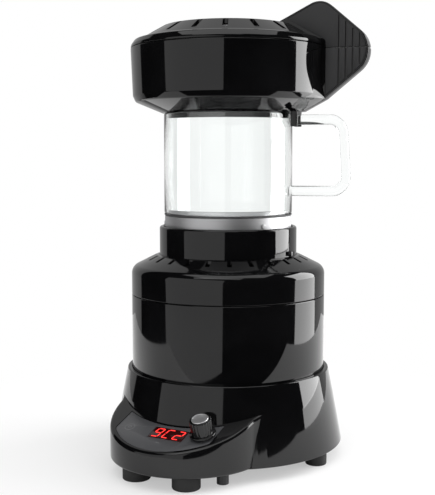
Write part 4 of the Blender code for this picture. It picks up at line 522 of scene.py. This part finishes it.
# %% [markdown]
# ## Glass chamber
#
# A satin ring carries the glass. It has a small lip inside, so the jar can't slide off, and a grey
# silicone gasket between them. The jar is turned with rounded lips, because it is the rounds that
# catch the light, and the handle is a rod swept along its loop.

# %% Ring, gasket and jar
ring = turn("chamber_foot_ring", soft_corners([
    (45.8, 153, 0.4), (45.8, 172.9, 0.5), (43.7, 172.9, 0.2), (43.7, 177.4, 0.4), (41.7, 177.4, 0.4),
    (41.7, 169.7, 0), (37.7, 169.7, 0), (37.7, 166.7, 0), (43.6, 163.7, 0), (43.6, 153, 0.3)]))
pip = turn("pip", soft_corners([(0, 44.8, 0), (1.7, 44.8, 0), (1.7, 46.3, 0.35), (0, 46.3, 0)]),
           -AXIS.x / MM, -AXIS.y / MM, 24)
pip.matrix_world = Matrix.Translation(place(0, 0, 167)) @ Matrix.Rotation(math.radians(90), 4, "Y")
bpy.ops.object.transform_apply(location=True, rotation=True, scale=True)
pips = ring_of(pip, 3, 120)
fit(ring, turn_about_axis(pips, 40), "UNION")
hand_over(ring, "chamber", "aluminium", "chamber_ring")
gasket = turn("foot_gasket", soft_corners([
    (44, 173.3, 0), (46.2, 173.3, 0.2), (46.2, 174, 0.2), (44, 174, 0)]))
hand_over(gasket, "chamber", "silicone", "chamber_gasket")
jar = turn("jar", soft_corners([
    (44, 174.3, 0.9), (46.2, 174.3, 1.2), (46.2, 245.7, 1.0), (44, 245.7, 1.0)]))
hand_over(jar, "chamber", "clear_glass", "glass_jar", smooth=60)

# %% Loop handle
ROD, REACH, CORNER, LEAN_IN = 3.6, 85.8, 10.0, 2.0
UPPER_BAR, LOWER_BAR = 240.7, 190.8
root_x = 46.5
route = [(root_x, UPPER_BAR)] + [(x, UPPER_BAR) for x in (48, 51, 56, 64)]
route += arc_points(REACH - LEAN_IN - CORNER, UPPER_BAR - CORNER, CORNER, 90, 0, 14)
route += [(REACH - LEAN_IN * share, 200.8 + 29.9 * share) for share in (0.75, 0.5, 0.25)]
route += arc_points(REACH - CORNER, LOWER_BAR + CORNER, CORNER, 0, -90, 14)
route += [(x, LOWER_BAR) for x in (64, 56, 51, 48, root_x)]
pick()
bpy.ops.mesh.primitive_circle_add(vertices=40, radius=ROD * MM, fill_type="NGON",
                                  location=place(root_x, 0, UPPER_BAR), rotation=(0, math.pi / 2, 0))
handle = bpy.context.object
handle.name = handle.data.name = "loop_handle"
bpy.ops.object.transform_apply(location=True, rotation=True, scale=True)
bpy.ops.object.mode_set(mode="EDIT")
bpy.ops.mesh.select_all(action="SELECT")
heading = 0.0
for index in range(1, len(route)):
    here, there = route[index - 1], route[index]
    step = Vector((there[0] - here[0], 0, there[1] - here[1]))
    if index + 1 < len(route):
        after = Vector((route[index + 1][0] - there[0], 0, route[index + 1][1] - there[1]))
        middle = (step.normalized() + after.normalized()).normalized()
    else:
        middle = step.normalized()
    bend = math.atan2(-middle.z, middle.x) - heading
    heading += bend
    bpy.ops.mesh.extrude_region_move(TRANSFORM_OT_translate={"value": step * MM})
    bpy.ops.transform.rotate(value=-bend, orient_axis="Y", center_override=place(there[0], 0, there[1]))
close_up()
hand_over(handle, "chamber", "clear_glass", "glass_handle", smooth=60)
print("handle box", [round(v * 1000, 1) for v in handle.dimensions])

# %% [markdown]
# ## Chaff collector
#
# The bowl is turned: a spigot that drops into the jar, a cone, and a tall band. A yoke under it
# straddles the handle's upper bar, so the bowl can't turn on the jar. Where the fin stands on the
# band, the wall sweeps out to it. That fairing is lofted from outlines that narrow on the way up.

# %% Bowl and yoke
FOOT, SEAM = 246.0, 291.3
bowl = turn("collector_bowl", soft_corners([
    (43.7, 241.4, 0.4), (43.7, 246, 0), (47.5, 246, 0.5), (66.4, 253.7, 2.2), (68.3, 257.9, 1.6),
    (69.7, 291.3, 0.6), (67.5, 291.3, 0.2), (66.1, 257.9, 0), (65.3, 255.9, 0), (47.5, 248.2, 0),
    (41.7, 248.2, 0.4), (41.7, 241.4, 0.4)]))
yoke = upright_slab("yoke", box_outline(2.45, 7.2, 1.0, 50.25, 0), 236, 249.8)
round_edges(yoke, 0.5, 3, 50)
fit(bowl, yoke, "UNION")
slot = sideways_slab("yoke_slot", soft_corners([
    (-4, 225, 0), (4, 225, 0), (4, 244.8, 3.2), (-4, 244.8, 3.2)]), -7.2, 9)
slot.data.transform(Matrix.Translation(-place(0, 0, 0)))
slot.matrix_world = Matrix.Translation(place(55, 0, 0)) @ Matrix.Rotation(math.radians(90), 4, "Z")
bpy.ops.object.transform_apply(location=True, rotation=True, scale=True)
fit(bowl, slot, "DIFFERENCE")

# %% Fairing
def fairing_loop(height, wall, reach, back):
    """Level of the fairing: each side leaves the wall as its tangent and runs straight to the fin."""
    tip = Vector((reach, 5.7))
    leave = math.atan2(tip.y, tip.x) + math.acos(min(1, wall / tip.length))
    side = []
    for step in range(5):
        angle = leave + math.radians(4) * (1 - step / 4)
        inset = 0.5 * (1 - step / 4)
        side.append(Vector((math.cos(angle), math.sin(angle))) * (wall - inset))
    side += [side[-1].lerp(tip, 0.5), tip]
    outline = [(point.x, -point.y) for point in side] + [(point.x, point.y) for point in reversed(side)]
    return [place(x, y, height) for x, y in outline + [(back, 0)]]


fairing_loops = []
for share in (0, 0.25, 0.5, 0.75):
    fairing_loops.append(fairing_loop(
        246.4 + 8.5 * share, 47.6 + 18.9 * share, 55.8 + 16.2 * share, 45.5 + 20.1 * share))
for share in (0, 0.12, 0.25, 0.4, 0.55, 0.7, 0.85, 1):
    fairing_loops.append(fairing_loop(
        254.9 + 19 * share, 66.9 + 2.05 * share, 68.8 + 3.2 * (1 - share) ** 1.25, 65.6 + 2.2 * share))
fit(bowl, loft("fairing", fairing_loops), "UNION")


def cove(name, levels):
    """Hollow corner between the wall and both faces of the fin. Levels are (height, wall, hollow)."""
    loops = []
    for height, wall, hollow in levels:
        centre = Vector((math.sqrt((wall + hollow) ** 2 - (5.75 + hollow) ** 2), 5.75 + hollow))
        first = math.degrees(math.atan2(centre.y, centre.x)) + 180
        last = 180 + math.degrees(math.acos(max(0, min(1, (centre.x - 71.8) / hollow))))
        side = [centre * (wall - 0.6) / centre.length] + [
            Vector(point) for point in arc_points(centre.x, centre.y, hollow, first, last, 8)]
        outline = [(point.x, -point.y) for point in side] + [(point.x, point.y) for point in reversed(side)]
        loops.append([place(x, y, height) for x, y in outline + [(wall - 1.2, 0)]])
    return loft(name, loops)


fit(bowl, cove("cove_lower", (
    (257, 67.9, 0.8), (260, 68.3, 2), (264, 68.45, 4), (268, 68.6, 6), (273, 68.85, 8), (291.1, 69.6, 8))), "UNION")
print("bowl", len(bowl.data.vertices), "vertices")

# %% [markdown]
# ## Fin handle
#
# The fin is one flat outline, split at the seam: the upper half lifts with the lid and the lower half
# stays on the bowl. Matte grips fill shallow pockets in both faces and leave a thin glossy rim, and
# four upright grooves cross them near the tip.

# %% Fin halves
FIN_HALF, DIP = 5.75, 2.2
FIN_CORNERS = [(36.5, 307.4, 0), (69.1, 323.6, 13), (111.5, 287.1, 17.8), (72, 254.9, 0)]
FIN = soft_corners(FIN_CORNERS + [
    (66.15, 254.9, 0), (67.3, 257.9, 0), (68.7, 291.3, 0), (67.3, 294.7, 0), (61.9, 297.1, 0),
    (45.5, 305.8, 0), (35.5, 305.8, 0)], 16)


def fin_half(name, upper):
    """Fin above or below the seam, which dips a little where it leaves the band."""
    level = SEAM + 0.3 if upper else SEAM
    away = 200 if upper else 400
    other = [(0, away), (0, level), (70, level), (73.5, level - DIP), (150, level - DIP), (150, away)]
    fin = sideways_slab(name, FIN, -FIN_HALF, FIN_HALF)
    fit(fin, sideways_slab("other_half", other, -20, 20), "DIFFERENCE")
    return round_edges(fin, 0.7, 4, 50)


def grip_plan(upper, inset=0.0):
    """Outline of the grip on one half, inside the fin's free edges by a thin rim."""
    rim = 1.3 + inset
    corners = [Vector(corner[:2]) for corner in FIN_CORNERS]
    lines = []
    for first, second in zip(corners, corners[1:]):
        along = (second - first).normalized()
        inward = Vector((along.y, -along.x))
        lines.append((first + inward * rim, along))

    def crossing(one, other):
        (start, along), (there, across) = one, other
        return start + along * ((there - start).cross(across) / along.cross(across))

    def height_on(line, radius):
        start, along = line
        return start.y + along.y * (radius - start.x) / along.x

    peak, nose = crossing(lines[0], lines[1]), crossing(lines[1], lines[2])
    inner = 71.8 + inset
    top = 44.9 + inset
    whole = soft_corners([
        (peak.x, peak.y, 13 - rim), (nose.x, nose.y, 17.8 - rim), (inner, height_on(lines[2], inner), 0),
        (inner, 294.7, 3), (61.9 + inset, 299.7 + inset, 0), (top, height_on(lines[0], top), 0)], 14)
    edge = SEAM - DIP + 0.15 + (0.35 if inset else -0.6) * (1 if upper else -1)
    kept = []
    for index, (x, z) in enumerate(whole):
        last_x, last_z = whole[index - 1]
        if (z - edge) * (last_z - edge) < 0:
            share = (edge - last_z) / (z - last_z)
            kept.append((last_x + (x - last_x) * share, edge))
        if (z - edge) * (1 if upper else -1) >= 0:
            kept.append((x, z))
    return kept


GROOVE_ENDS = ((263.5, 311.5), (267.5, 307), (271.5, 302), (277.5, 300))


def grips(owner, upper, body):
    level = "upper" if upper else "lower"
    for side, sign in (("front", -1), ("rear", 1)):
        low, high = sorted((sign * 4.75, sign * 7))
        fit(owner, sideways_slab("pocket", grip_plan(upper), low, high), "DIFFERENCE")
        low, high = sorted((sign * 5.05, sign * 6.05))
        grip = sideways_slab(f"grip_{level}_{side}", grip_plan(upper, 0.3), low, high)
        round_edges(grip, 0.2, 2, 50)
        low, high = sorted((sign * 5.0, sign * 7))
        for index, (foot, head) in enumerate(GROOVE_ENDS):
            radius = 81.4 + index * 4.8
            groove = sideways_slab("groove", [(x + radius, z) for x, z in soft_corners([
                (-0.7, foot, 0.6), (0.7, foot, 0.6), (0.7, head, 0.6), (-0.7, head, 0.6)])], low, high)
            fit(grip, groove, "DIFFERENCE")
        hand_over(grip, body, "grip_grey", f"grip_pad_{level}_{side}")


fit(bowl, fin_half("fin_lower", False), "UNION")
grips(bowl, False, "collector")
hand_over(bowl, "collector", "gloss_black", "collector_body")

# %% [markdown]
# ## Lid
#
# The lid slopes up to a flat disc. Seventeen exhaust slots cross the slope, with room left for the
# fin. The slot cutter has round ends, is copied round the axis, and cuts once.

# %% Lid with its slots
lid = turn("collector_lid_shell", soft_corners([
    (0, 306.8, 0), (46.5, 306.8, 1.8), (61.9, 298.1, 3.0), (66.9, 296.9, 2.2), (69.2, 293.6, 1.8),
    (69.7, 291.6, 0.5), (66.9, 291.6, 0), (66.9, 288.6, 0.3), (65.1, 288.6, 0.3), (65.1, 293.1, 0),
    (60.8, 295.9, 0), (44.3, 304.6, 0), (0, 304.6, 0)]))
lid_slot = upright_slab("lid_slot", box_outline(5.85, 1.85, 0.9, 52.65, 0), 290, 312)
turn_about_axis(lid_slot, 180 / 17)
fit(lid, ring_of(lid_slot, 17, 360 / 17), "DIFFERENCE")
fit(lid, fin_half("fin_upper", True), "UNION")
fit(lid, cove("cove_upper", ((291.7, 69.6, 8), (293.6, 69.1, 8), (295.6, 67.9, 8))), "UNION")
grips(lid, True, "lid")
hand_over(lid, "lid", "gloss_black", "collector_lid")

# %% Inner turned pieces
riser = turn("riser", soft_corners([
    (41.7, 248.5, 0), (46, 248.5, 0.3), (46, 250, 0.3), (43.2, 250, 0.5), (31.5, 262.5, 2),
    (31.5, 283, 0.4), (30, 283, 0.4), (30, 262.5, 2)]))
hand_over(riser, "collector", "aluminium", "chaff_riser")
deflector = turn("deflector", soft_corners([
    (0, 288.8, 0), (34, 288.8, 0.5), (34, 290.3, 0.5), (5, 294.3, 1), (5, 304.3, 0), (0, 304.3, 0)]))
hand_over(deflector, "lid", "aluminium", "chaff_deflector")

# %% [markdown]
# ## Finishes
#
# Three effects are shared by many materials, so each is a node group with its own inputs. The first
# makes a polished surface real: a cloudy film of handling changes the roughness, and hair scratches
# lift it. The second is the fine grain of a matte moulding. The third is the mark of a lathe tool.

# %% Node helpers
def new_group(name, inputs, outputs):
    """Empty shader group with named number sockets."""
    group = bpy.data.node_groups.new(name, "ShaderNodeTree")
    for socket, value in inputs.items():
        group.interface.new_socket(name=socket, in_out="INPUT", socket_type="NodeSocketFloat").default_value = value
    for socket in outputs:
        group.interface.new_socket(name=socket, in_out="OUTPUT", socket_type="NodeSocketFloat")
    return group, group.nodes.new("NodeGroupInput"), group.nodes.new("NodeGroupOutput")


def add_node(tree, kind, inputs=None, **settings):
    """Node with settings, whose inputs are numbers or the outputs of other nodes."""
    node = tree.nodes.new(kind)
    for key, value in settings.items():
        setattr(node, key, value)
    for key, value in (inputs or {}).items():
        if isinstance(value, bpy.types.NodeSocket):
            tree.links.new(value, node.inputs[key])
        else:
            node.inputs[key].default_value = value
    return node


def spread(tree, value, low, high, to_low, to_high):
    """Map a value from one range to another, clamped."""
    node = add_node(tree, "ShaderNodeMapRange", {0: value, 1: low, 2: high, 3: to_low, 4: to_high})
    return node.outputs[0]


def sums(tree, operation, first, second):
    return add_node(tree, "ShaderNodeMath", {0: first, 1: second}, operation=operation).outputs[0]


# %% Handling on polished surfaces
handling, given, result = new_group(
    "handling", {"Clean Roughness": 0.06, "Smudged Roughness": 0.14, "Smudge Size": 30, "Scratches": 0.5},
    ["Roughness", "Height", "Smudge"])
where = add_node(handling, "ShaderNodeTexCoord").outputs["Object"]
cloud = add_node(handling, "ShaderNodeTexNoise", {
    "Vector": where, "Scale": given.outputs["Smudge Size"], "Detail": 4.0, "Roughness": 0.55}).outputs["Fac"]
smudge = spread(handling, cloud, 0.42, 0.72, 0.0, 1.0)
drawn = add_node(handling, "ShaderNodeMapping", {"Vector": where, "Scale": (900, 900, 60)}).outputs[0]
hairs = add_node(handling, "ShaderNodeTexNoise", {"Vector": drawn, "Scale": 1.0, "Detail": 2.0}).outputs["Fac"]
hair_mask = sums(handling, "MULTIPLY", spread(handling, hairs, 0.66, 0.74, 0.0, 1.0), given.outputs["Scratches"])
blend = add_node(handling, "ShaderNodeMapRange", {
    0: smudge, 3: given.outputs["Clean Roughness"], 4: given.outputs["Smudged Roughness"]}).outputs[0]
rough = sums(handling, "ADD", blend, sums(handling, "MULTIPLY", hair_mask, 0.06))
handling.links.new(rough, result.inputs["Roughness"])
handling.links.new(hair_mask, result.inputs["Height"])
handling.links.new(smudge, result.inputs["Smudge"])

# %% Grain of matte mouldings
grain, given, result = new_group(
    "mould_grain", {"Grain Size": 2200, "Low Roughness": 0.45, "High Roughness": 0.65},
    ["Roughness", "Height", "Tone"])
where = add_node(grain, "ShaderNodeTexCoord").outputs["Object"]
pebble = add_node(grain, "ShaderNodeTexVoronoi", {
    "Vector": where, "Scale": given.outputs["Grain Size"]}, feature="SMOOTH_F1").outputs["Distance"]
patch = add_node(grain, "ShaderNodeTexNoise", {"Vector": where, "Scale": 60.0, "Detail": 5.0}).outputs["Fac"]
level = add_node(grain, "ShaderNodeMapRange", {
    0: patch, 1: 0.3, 2: 0.7, 3: given.outputs["Low Roughness"], 4: given.outputs["High Roughness"]}).outputs[0]
grain.links.new(level, result.inputs["Roughness"])
grain.links.new(pebble, result.inputs["Height"])
grain.links.new(patch, result.inputs["Tone"])

# %% Lathe marks
lathe, given, result = new_group(
    "lathe_marks", {"Lines": 1400, "Low Roughness": 0.2, "High Roughness": 0.36}, ["Roughness", "Height", "Tone"])
where = add_node(lathe, "ShaderNodeTexCoord").outputs["Object"]
centred = add_node(lathe, "ShaderNodeMapping", {"Vector": where, "Location": (-AXIS.x, -AXIS.y, 0)}).outputs[0]
parts = add_node(lathe, "ShaderNodeSeparateXYZ", {0: centred})
flat = add_node(lathe, "ShaderNodeCombineXYZ", {0: parts.outputs[0], 1: parts.outputs[1]}).outputs[0]
radius = add_node(lathe, "ShaderNodeVectorMath", {0: flat}, operation="LENGTH").outputs["Value"]
run = sums(lathe, "MULTIPLY", sums(lathe, "ADD", radius, parts.outputs[2]), given.outputs["Lines"])
lines = add_node(lathe, "ShaderNodeTexNoise", {"W": run, "Scale": 1.0, "Detail": 3.0}, noise_dimensions="1D").outputs["Fac"]
level = add_node(lathe, "ShaderNodeMapRange", {
    0: lines, 1: 0.3, 2: 0.7, 3: given.outputs["Low Roughness"], 4: given.outputs["High Roughness"]}).outputs[0]
lathe.links.new(level, result.inputs["Roughness"])
lathe.links.new(lines, result.inputs["Height"])
lathe.links.new(lines, result.inputs["Tone"])


# %% A finish from a base colour and an effect
def finish(name, colour, group, effect, bump=0.05, tone="", vary=0.0, depth=0.00002, **plain):
    """Principled material whose roughness and relief come from a shared effect."""
    material = bpy.data.materials.new(name)
    material.use_nodes = True
    tree = material.node_tree
    shader = tree.nodes["Principled BSDF"]
    shader.inputs["Base Color"].default_value = (*colour, 1)
    for socket, value in plain.items():
        shader.inputs[socket.replace("_", " ")].default_value = value
    worn = add_node(tree, "ShaderNodeGroup", node_tree=group)
    for socket, value in effect.items():
        worn.inputs[socket].default_value = value
    tree.links.new(worn.outputs["Roughness"], shader.inputs["Roughness"])
    relief = add_node(tree, "ShaderNodeBump", {
        "Strength": bump, "Distance": depth, "Height": worn.outputs["Height"]})
    tree.links.new(relief.outputs[0], shader.inputs["Normal"])
    if tone:
        lighter = tuple(min(1.0, channel * (1 + vary)) for channel in colour)
        darker = tuple(channel * (1 - vary) for channel in colour)
        mix = add_node(tree, "ShaderNodeMix", {0: worn.outputs[tone], 6: (*darker, 1), 7: (*lighter, 1)},
                       data_type="RGBA")
        tree.links.new(mix.outputs[2], shader.inputs["Base Color"])
    return material


finishes = {
    "gloss_black": finish("piano_black", (0.0035, 0.0035, 0.0038), handling, {
        "Clean Roughness": 0.035, "Smudged Roughness": 0.07, "Smudge Size": 22, "Scratches": 0.25},
        0.03, "Smudge", 0.25, IOR=1.5),
    "matte_black": finish("plain_black", (0.030, 0.030, 0.031), grain, {}, 0.25, "Tone", 0.2),
    "grip_grey": finish("soft_grip", (0.021, 0.021, 0.022), grain, {
        "Grain Size": 2600, "Low Roughness": 0.42, "High Roughness": 0.52}, 0.2, "Tone", 0.12),
    "panel_film": finish("satin_film", (0.066, 0.067, 0.071), grain, {
        "Grain Size": 4000, "Low Roughness": 0.30, "High Roughness": 0.38}, 0.08, "Tone", 0.08),
    "rubber": finish("foot_rubber", (0.020, 0.020, 0.020), grain, {
        "Grain Size": 1800, "Low Roughness": 0.7, "High Roughness": 0.85}, 0.3, "Tone", 0.25),
    "aluminium": finish("spun_aluminium", (0.66, 0.66, 0.67), lathe, {
        "Low Roughness": 0.46, "High Roughness": 0.58}, 0.12, "Tone", 0.06, Metallic=1.0),
    "steel": finish("plain_steel", (0.55, 0.55, 0.56), lathe, {
        "Lines": 900, "Low Roughness": 0.26, "High Roughness": 0.42}, 0.1, "Tone", 0.1, Metallic=1.0),
    "chrome": finish("bright_cap", (0.82, 0.82, 0.83), handling, {
        "Clean Roughness": 0.42, "Smudged Roughness": 0.5, "Smudge Size": 90}, 0.03, "Smudge", 0.04, Metallic=1.0),
    "brass": finish("turned_brass", (0.76, 0.57, 0.26), lathe, {}, 0.1, "Tone", 0.08, Metallic=1.0),
    "mica": finish("mica_sheet", (0.56, 0.49, 0.37), grain, {"Grain Size": 700}, 0.2, "Tone", 0.3),
    "element_wire": finish("element_wire", (0.30, 0.26, 0.24), grain, {
        "Low Roughness": 0.35, "High Roughness": 0.6}, 0.2, "Tone", 0.35, Metallic=1.0),
    "silicone": finish("gasket_silicone", (0.055, 0.055, 0.057), grain, {}, 0.1, "Tone", 0.1),
    "clear_glass": finish("clear_glass", (0.97, 0.985, 0.98), handling, {
        "Clean Roughness": 0.0, "Smudged Roughness": 0.015, "Smudge Size": 14, "Scratches": 0.0},
        0.0, "Smudge", 0.01, IOR=1.47, Transmission_Weight=1.0),
    "board_green": finish("board_lacquer", (0.020, 0.11, 0.055), handling, {
        "Clean Roughness": 0.25, "Smudged Roughness": 0.4}, 0.05, "Smudge", 0.2),
    "relay_blue": finish("relay_case", (0.035, 0.09, 0.33), grain, {"Low Roughness": 0.3}, 0.1, "Tone", 0.08),
    "lead_sleeve": finish("woven_sleeve", (0.60, 0.57, 0.50), grain, {"Grain Size": 1500}, 0.5, "Tone", 0.15),
    "nylon": finish("filled_nylon", (0.62, 0.60, 0.54), grain, {}, 0.2, "Tone", 0.08),
    "red_window": finish("red_filter", (0.030, 0.004, 0.004), handling, {
        "Clean Roughness": 0.06, "Smudged Roughness": 0.12}, 0.02, "Smudge", 0.1, IOR=1.5),
}

# %% Lit digits and printed marks have their own finish
lit = finish("lit_digits", (0.5, 0.01, 0.01), grain, {}, 0.0, "Tone", 0.1, Emission_Strength=1.5)
lit.node_tree.nodes["Principled BSDF"].inputs["Emission Color"].default_value = (1.0, 0.035, 0.03, 1)
ink = finish("grey_ink", (0.16, 0.16, 0.165), grain, {"Low Roughness": 0.4, "High Roughness": 0.5}, 0.05, "Tone", 0.1)
own_finish = {"display_digits": lit, "film_marks": ink, "mark": ink}

# %% [markdown]
# Every solid that still shows takes the finish of its own slot, and so does every new piece.

# %% Paint everything
def paint(thing, material):
    thing.data.materials.clear()
    thing.data.materials.append(material)


for piece, slot in dressed:
    paint(piece, own_finish.get(piece.name, finishes[slot]))
for part in frame["record"]["subparts"]:
    paint(frame["nodes"][part["node"]], finishes[part["material_slot"]])
print("painted", len(dressed), "pieces and", len(frame["nodes"]), "solids")

# %% [markdown]
# ## Studio
#
# The floor is pale and the background white. Polished black shows only what it reflects, so the room
# around it is what makes the picture: a wide dim card at the front left, a narrow bright one at the
# right, a large one overhead, and darkness between them. White behind the roaster edges both sides.

# %% Floor
CAMERA_TURN = math.radians(29)
pick()
bpy.ops.mesh.primitive_plane_add(size=1, rotation=(0, 0, CAMERA_TURN),
                                 location=AXIS + Vector((-math.sin(CAMERA_TURN), math.cos(CAMERA_TURN), 0)) * 0.2)
floor = bpy.context.object
floor.name = "studio_floor"
floor.scale = (1.0, 0.8, 1)
bpy.ops.object.transform_apply(location=True, rotation=True, scale=True)
paper = bpy.data.materials.new("studio_paper")
paper.use_nodes = True
tree = paper.node_tree
tree.nodes.clear()
rays = add_node(tree, "ShaderNodeLightPath")
matt = add_node(tree, "ShaderNodeBsdfDiffuse", {"Color": (0.86, 0.86, 0.86, 1)})
glow = add_node(tree, "ShaderNodeEmission", {"Color": (1, 1, 1, 1), "Strength": 1.0})
seen = sums(tree, "MAXIMUM", rays.outputs["Is Camera Ray"], rays.outputs["Is Transmission Ray"])
from_axis = add_node(tree, "ShaderNodeVectorMath", {
    0: add_node(tree, "ShaderNodeTexCoord").outputs["Object"], 1: tuple(AXIS)}, operation="DISTANCE").outputs["Value"]
whiteness = spread(tree, from_axis, 0.10, 0.30, 0.45, 1.0)
blend = add_node(tree, "ShaderNodeMixShader", {
    0: sums(tree, "MULTIPLY", seen, whiteness), 1: matt.outputs[0], 2: glow.outputs[0]})
out = add_node(tree, "ShaderNodeOutputMaterial", {"Surface": blend.outputs[0]})
paint(floor, paper)

# %% Room
world = bpy.data.worlds.new("studio_room")
bpy.context.scene.world = world
world.use_nodes = True
tree = world.node_tree
tree.nodes.clear()
rays = add_node(tree, "ShaderNodeLightPath")
ahead = add_node(tree, "ShaderNodeSeparateXYZ", {0: add_node(tree, "ShaderNodeTexCoord").outputs["Generated"]})
depth = sums(tree, "ADD", sums(tree, "MULTIPLY", ahead.outputs[0], -math.sin(CAMERA_TURN)),
             sums(tree, "MULTIPLY", ahead.outputs[1], math.cos(CAMERA_TURN)))
behind = sums(tree, "MULTIPLY", spread(tree, depth, 0.54, 0.57, 0.0, 0.5),
              spread(tree, ahead.outputs[2], -0.40, -0.22, 0.0, 1.0))
across = spread(tree, sums(tree, "ABSOLUTE", depth, 0.0), 0.45, 0.85, 0.35, 1.0)
seen = sums(tree, "MAXIMUM", rays.outputs["Is Camera Ray"],
            sums(tree, "MULTIPLY", rays.outputs["Is Transmission Ray"], across))
shiny = sums(tree, "MULTIPLY", rays.outputs["Is Glossy Ray"], behind)
soft = sums(tree, "MULTIPLY", rays.outputs["Is Diffuse Ray"], 0.62)
white = sums(tree, "MAXIMUM", sums(tree, "MAXIMUM", seen, shiny), soft)
room = add_node(tree, "ShaderNodeBackground", {"Color": (1, 1, 1, 1), "Strength": white})
add_node(tree, "ShaderNodeOutputWorld", {"Surface": room.outputs[0]})


# %% Lamps
def card(name, degrees, distance, height, wide, tall, level):
    """Square lamp that faces the roaster. Degrees count from the camera, with plus to its right."""
    angle = CAMERA_TURN + math.radians(degrees)
    spot = Vector((math.sin(angle), -math.cos(angle), 0)) * distance + Vector((0, 0, height))
    aim = Vector((0, 0, 0.16)) - spot
    bpy.ops.object.light_add(type="AREA", location=AXIS + spot, rotation=aim.to_track_quat("-Z", "Y").to_euler())
    lamp = bpy.context.object
    lamp.name = name
    lamp.data.shape = "RECTANGLE"
    lamp.data.size = wide
    lamp.data.size_y = tall
    lamp.data.energy = level * math.pi * wide * tall
    return lamp


card("front_left_card", -41, 1.5, 0.30, 2.15, 1.6, 0.8)
card("right_strip", 101.5, 1.2, 0.55, 0.84, 1.0, 7.0)
card("right_strip_foot", 101.5, 1.2, -0.10, 0.84, 0.36, 4.2)
card("overhead_card", 10, 0.25, 1.5, 1.6, 1.2, 1.4)
card("high_front_card", -15, 1.1, 1.5, 1.5, 0.5, 1.3)

# %% Camera
lens = bpy.data.cameras.new("photo_camera")
camera = bpy.data.objects.new("photo_camera", lens)
bpy.context.scene.collection.objects.link(camera)
bpy.context.scene.camera = camera
lens.lens = 68.9
lens.sensor_width = 36
lens.clip_start = 0.01
camera.location = AXIS + Vector((math.sin(CAMERA_TURN) * 0.6885, -math.cos(CAMERA_TURN) * 0.6885, 0.214))
PITCH, YAW = math.radians(5.4), CAMERA_TURN + math.atan(10.6 / 947.3)
camera.rotation_euler = (math.radians(90) - PITCH, 0, YAW)
bpy.context.scene.view_settings.view_transform = "Standard"
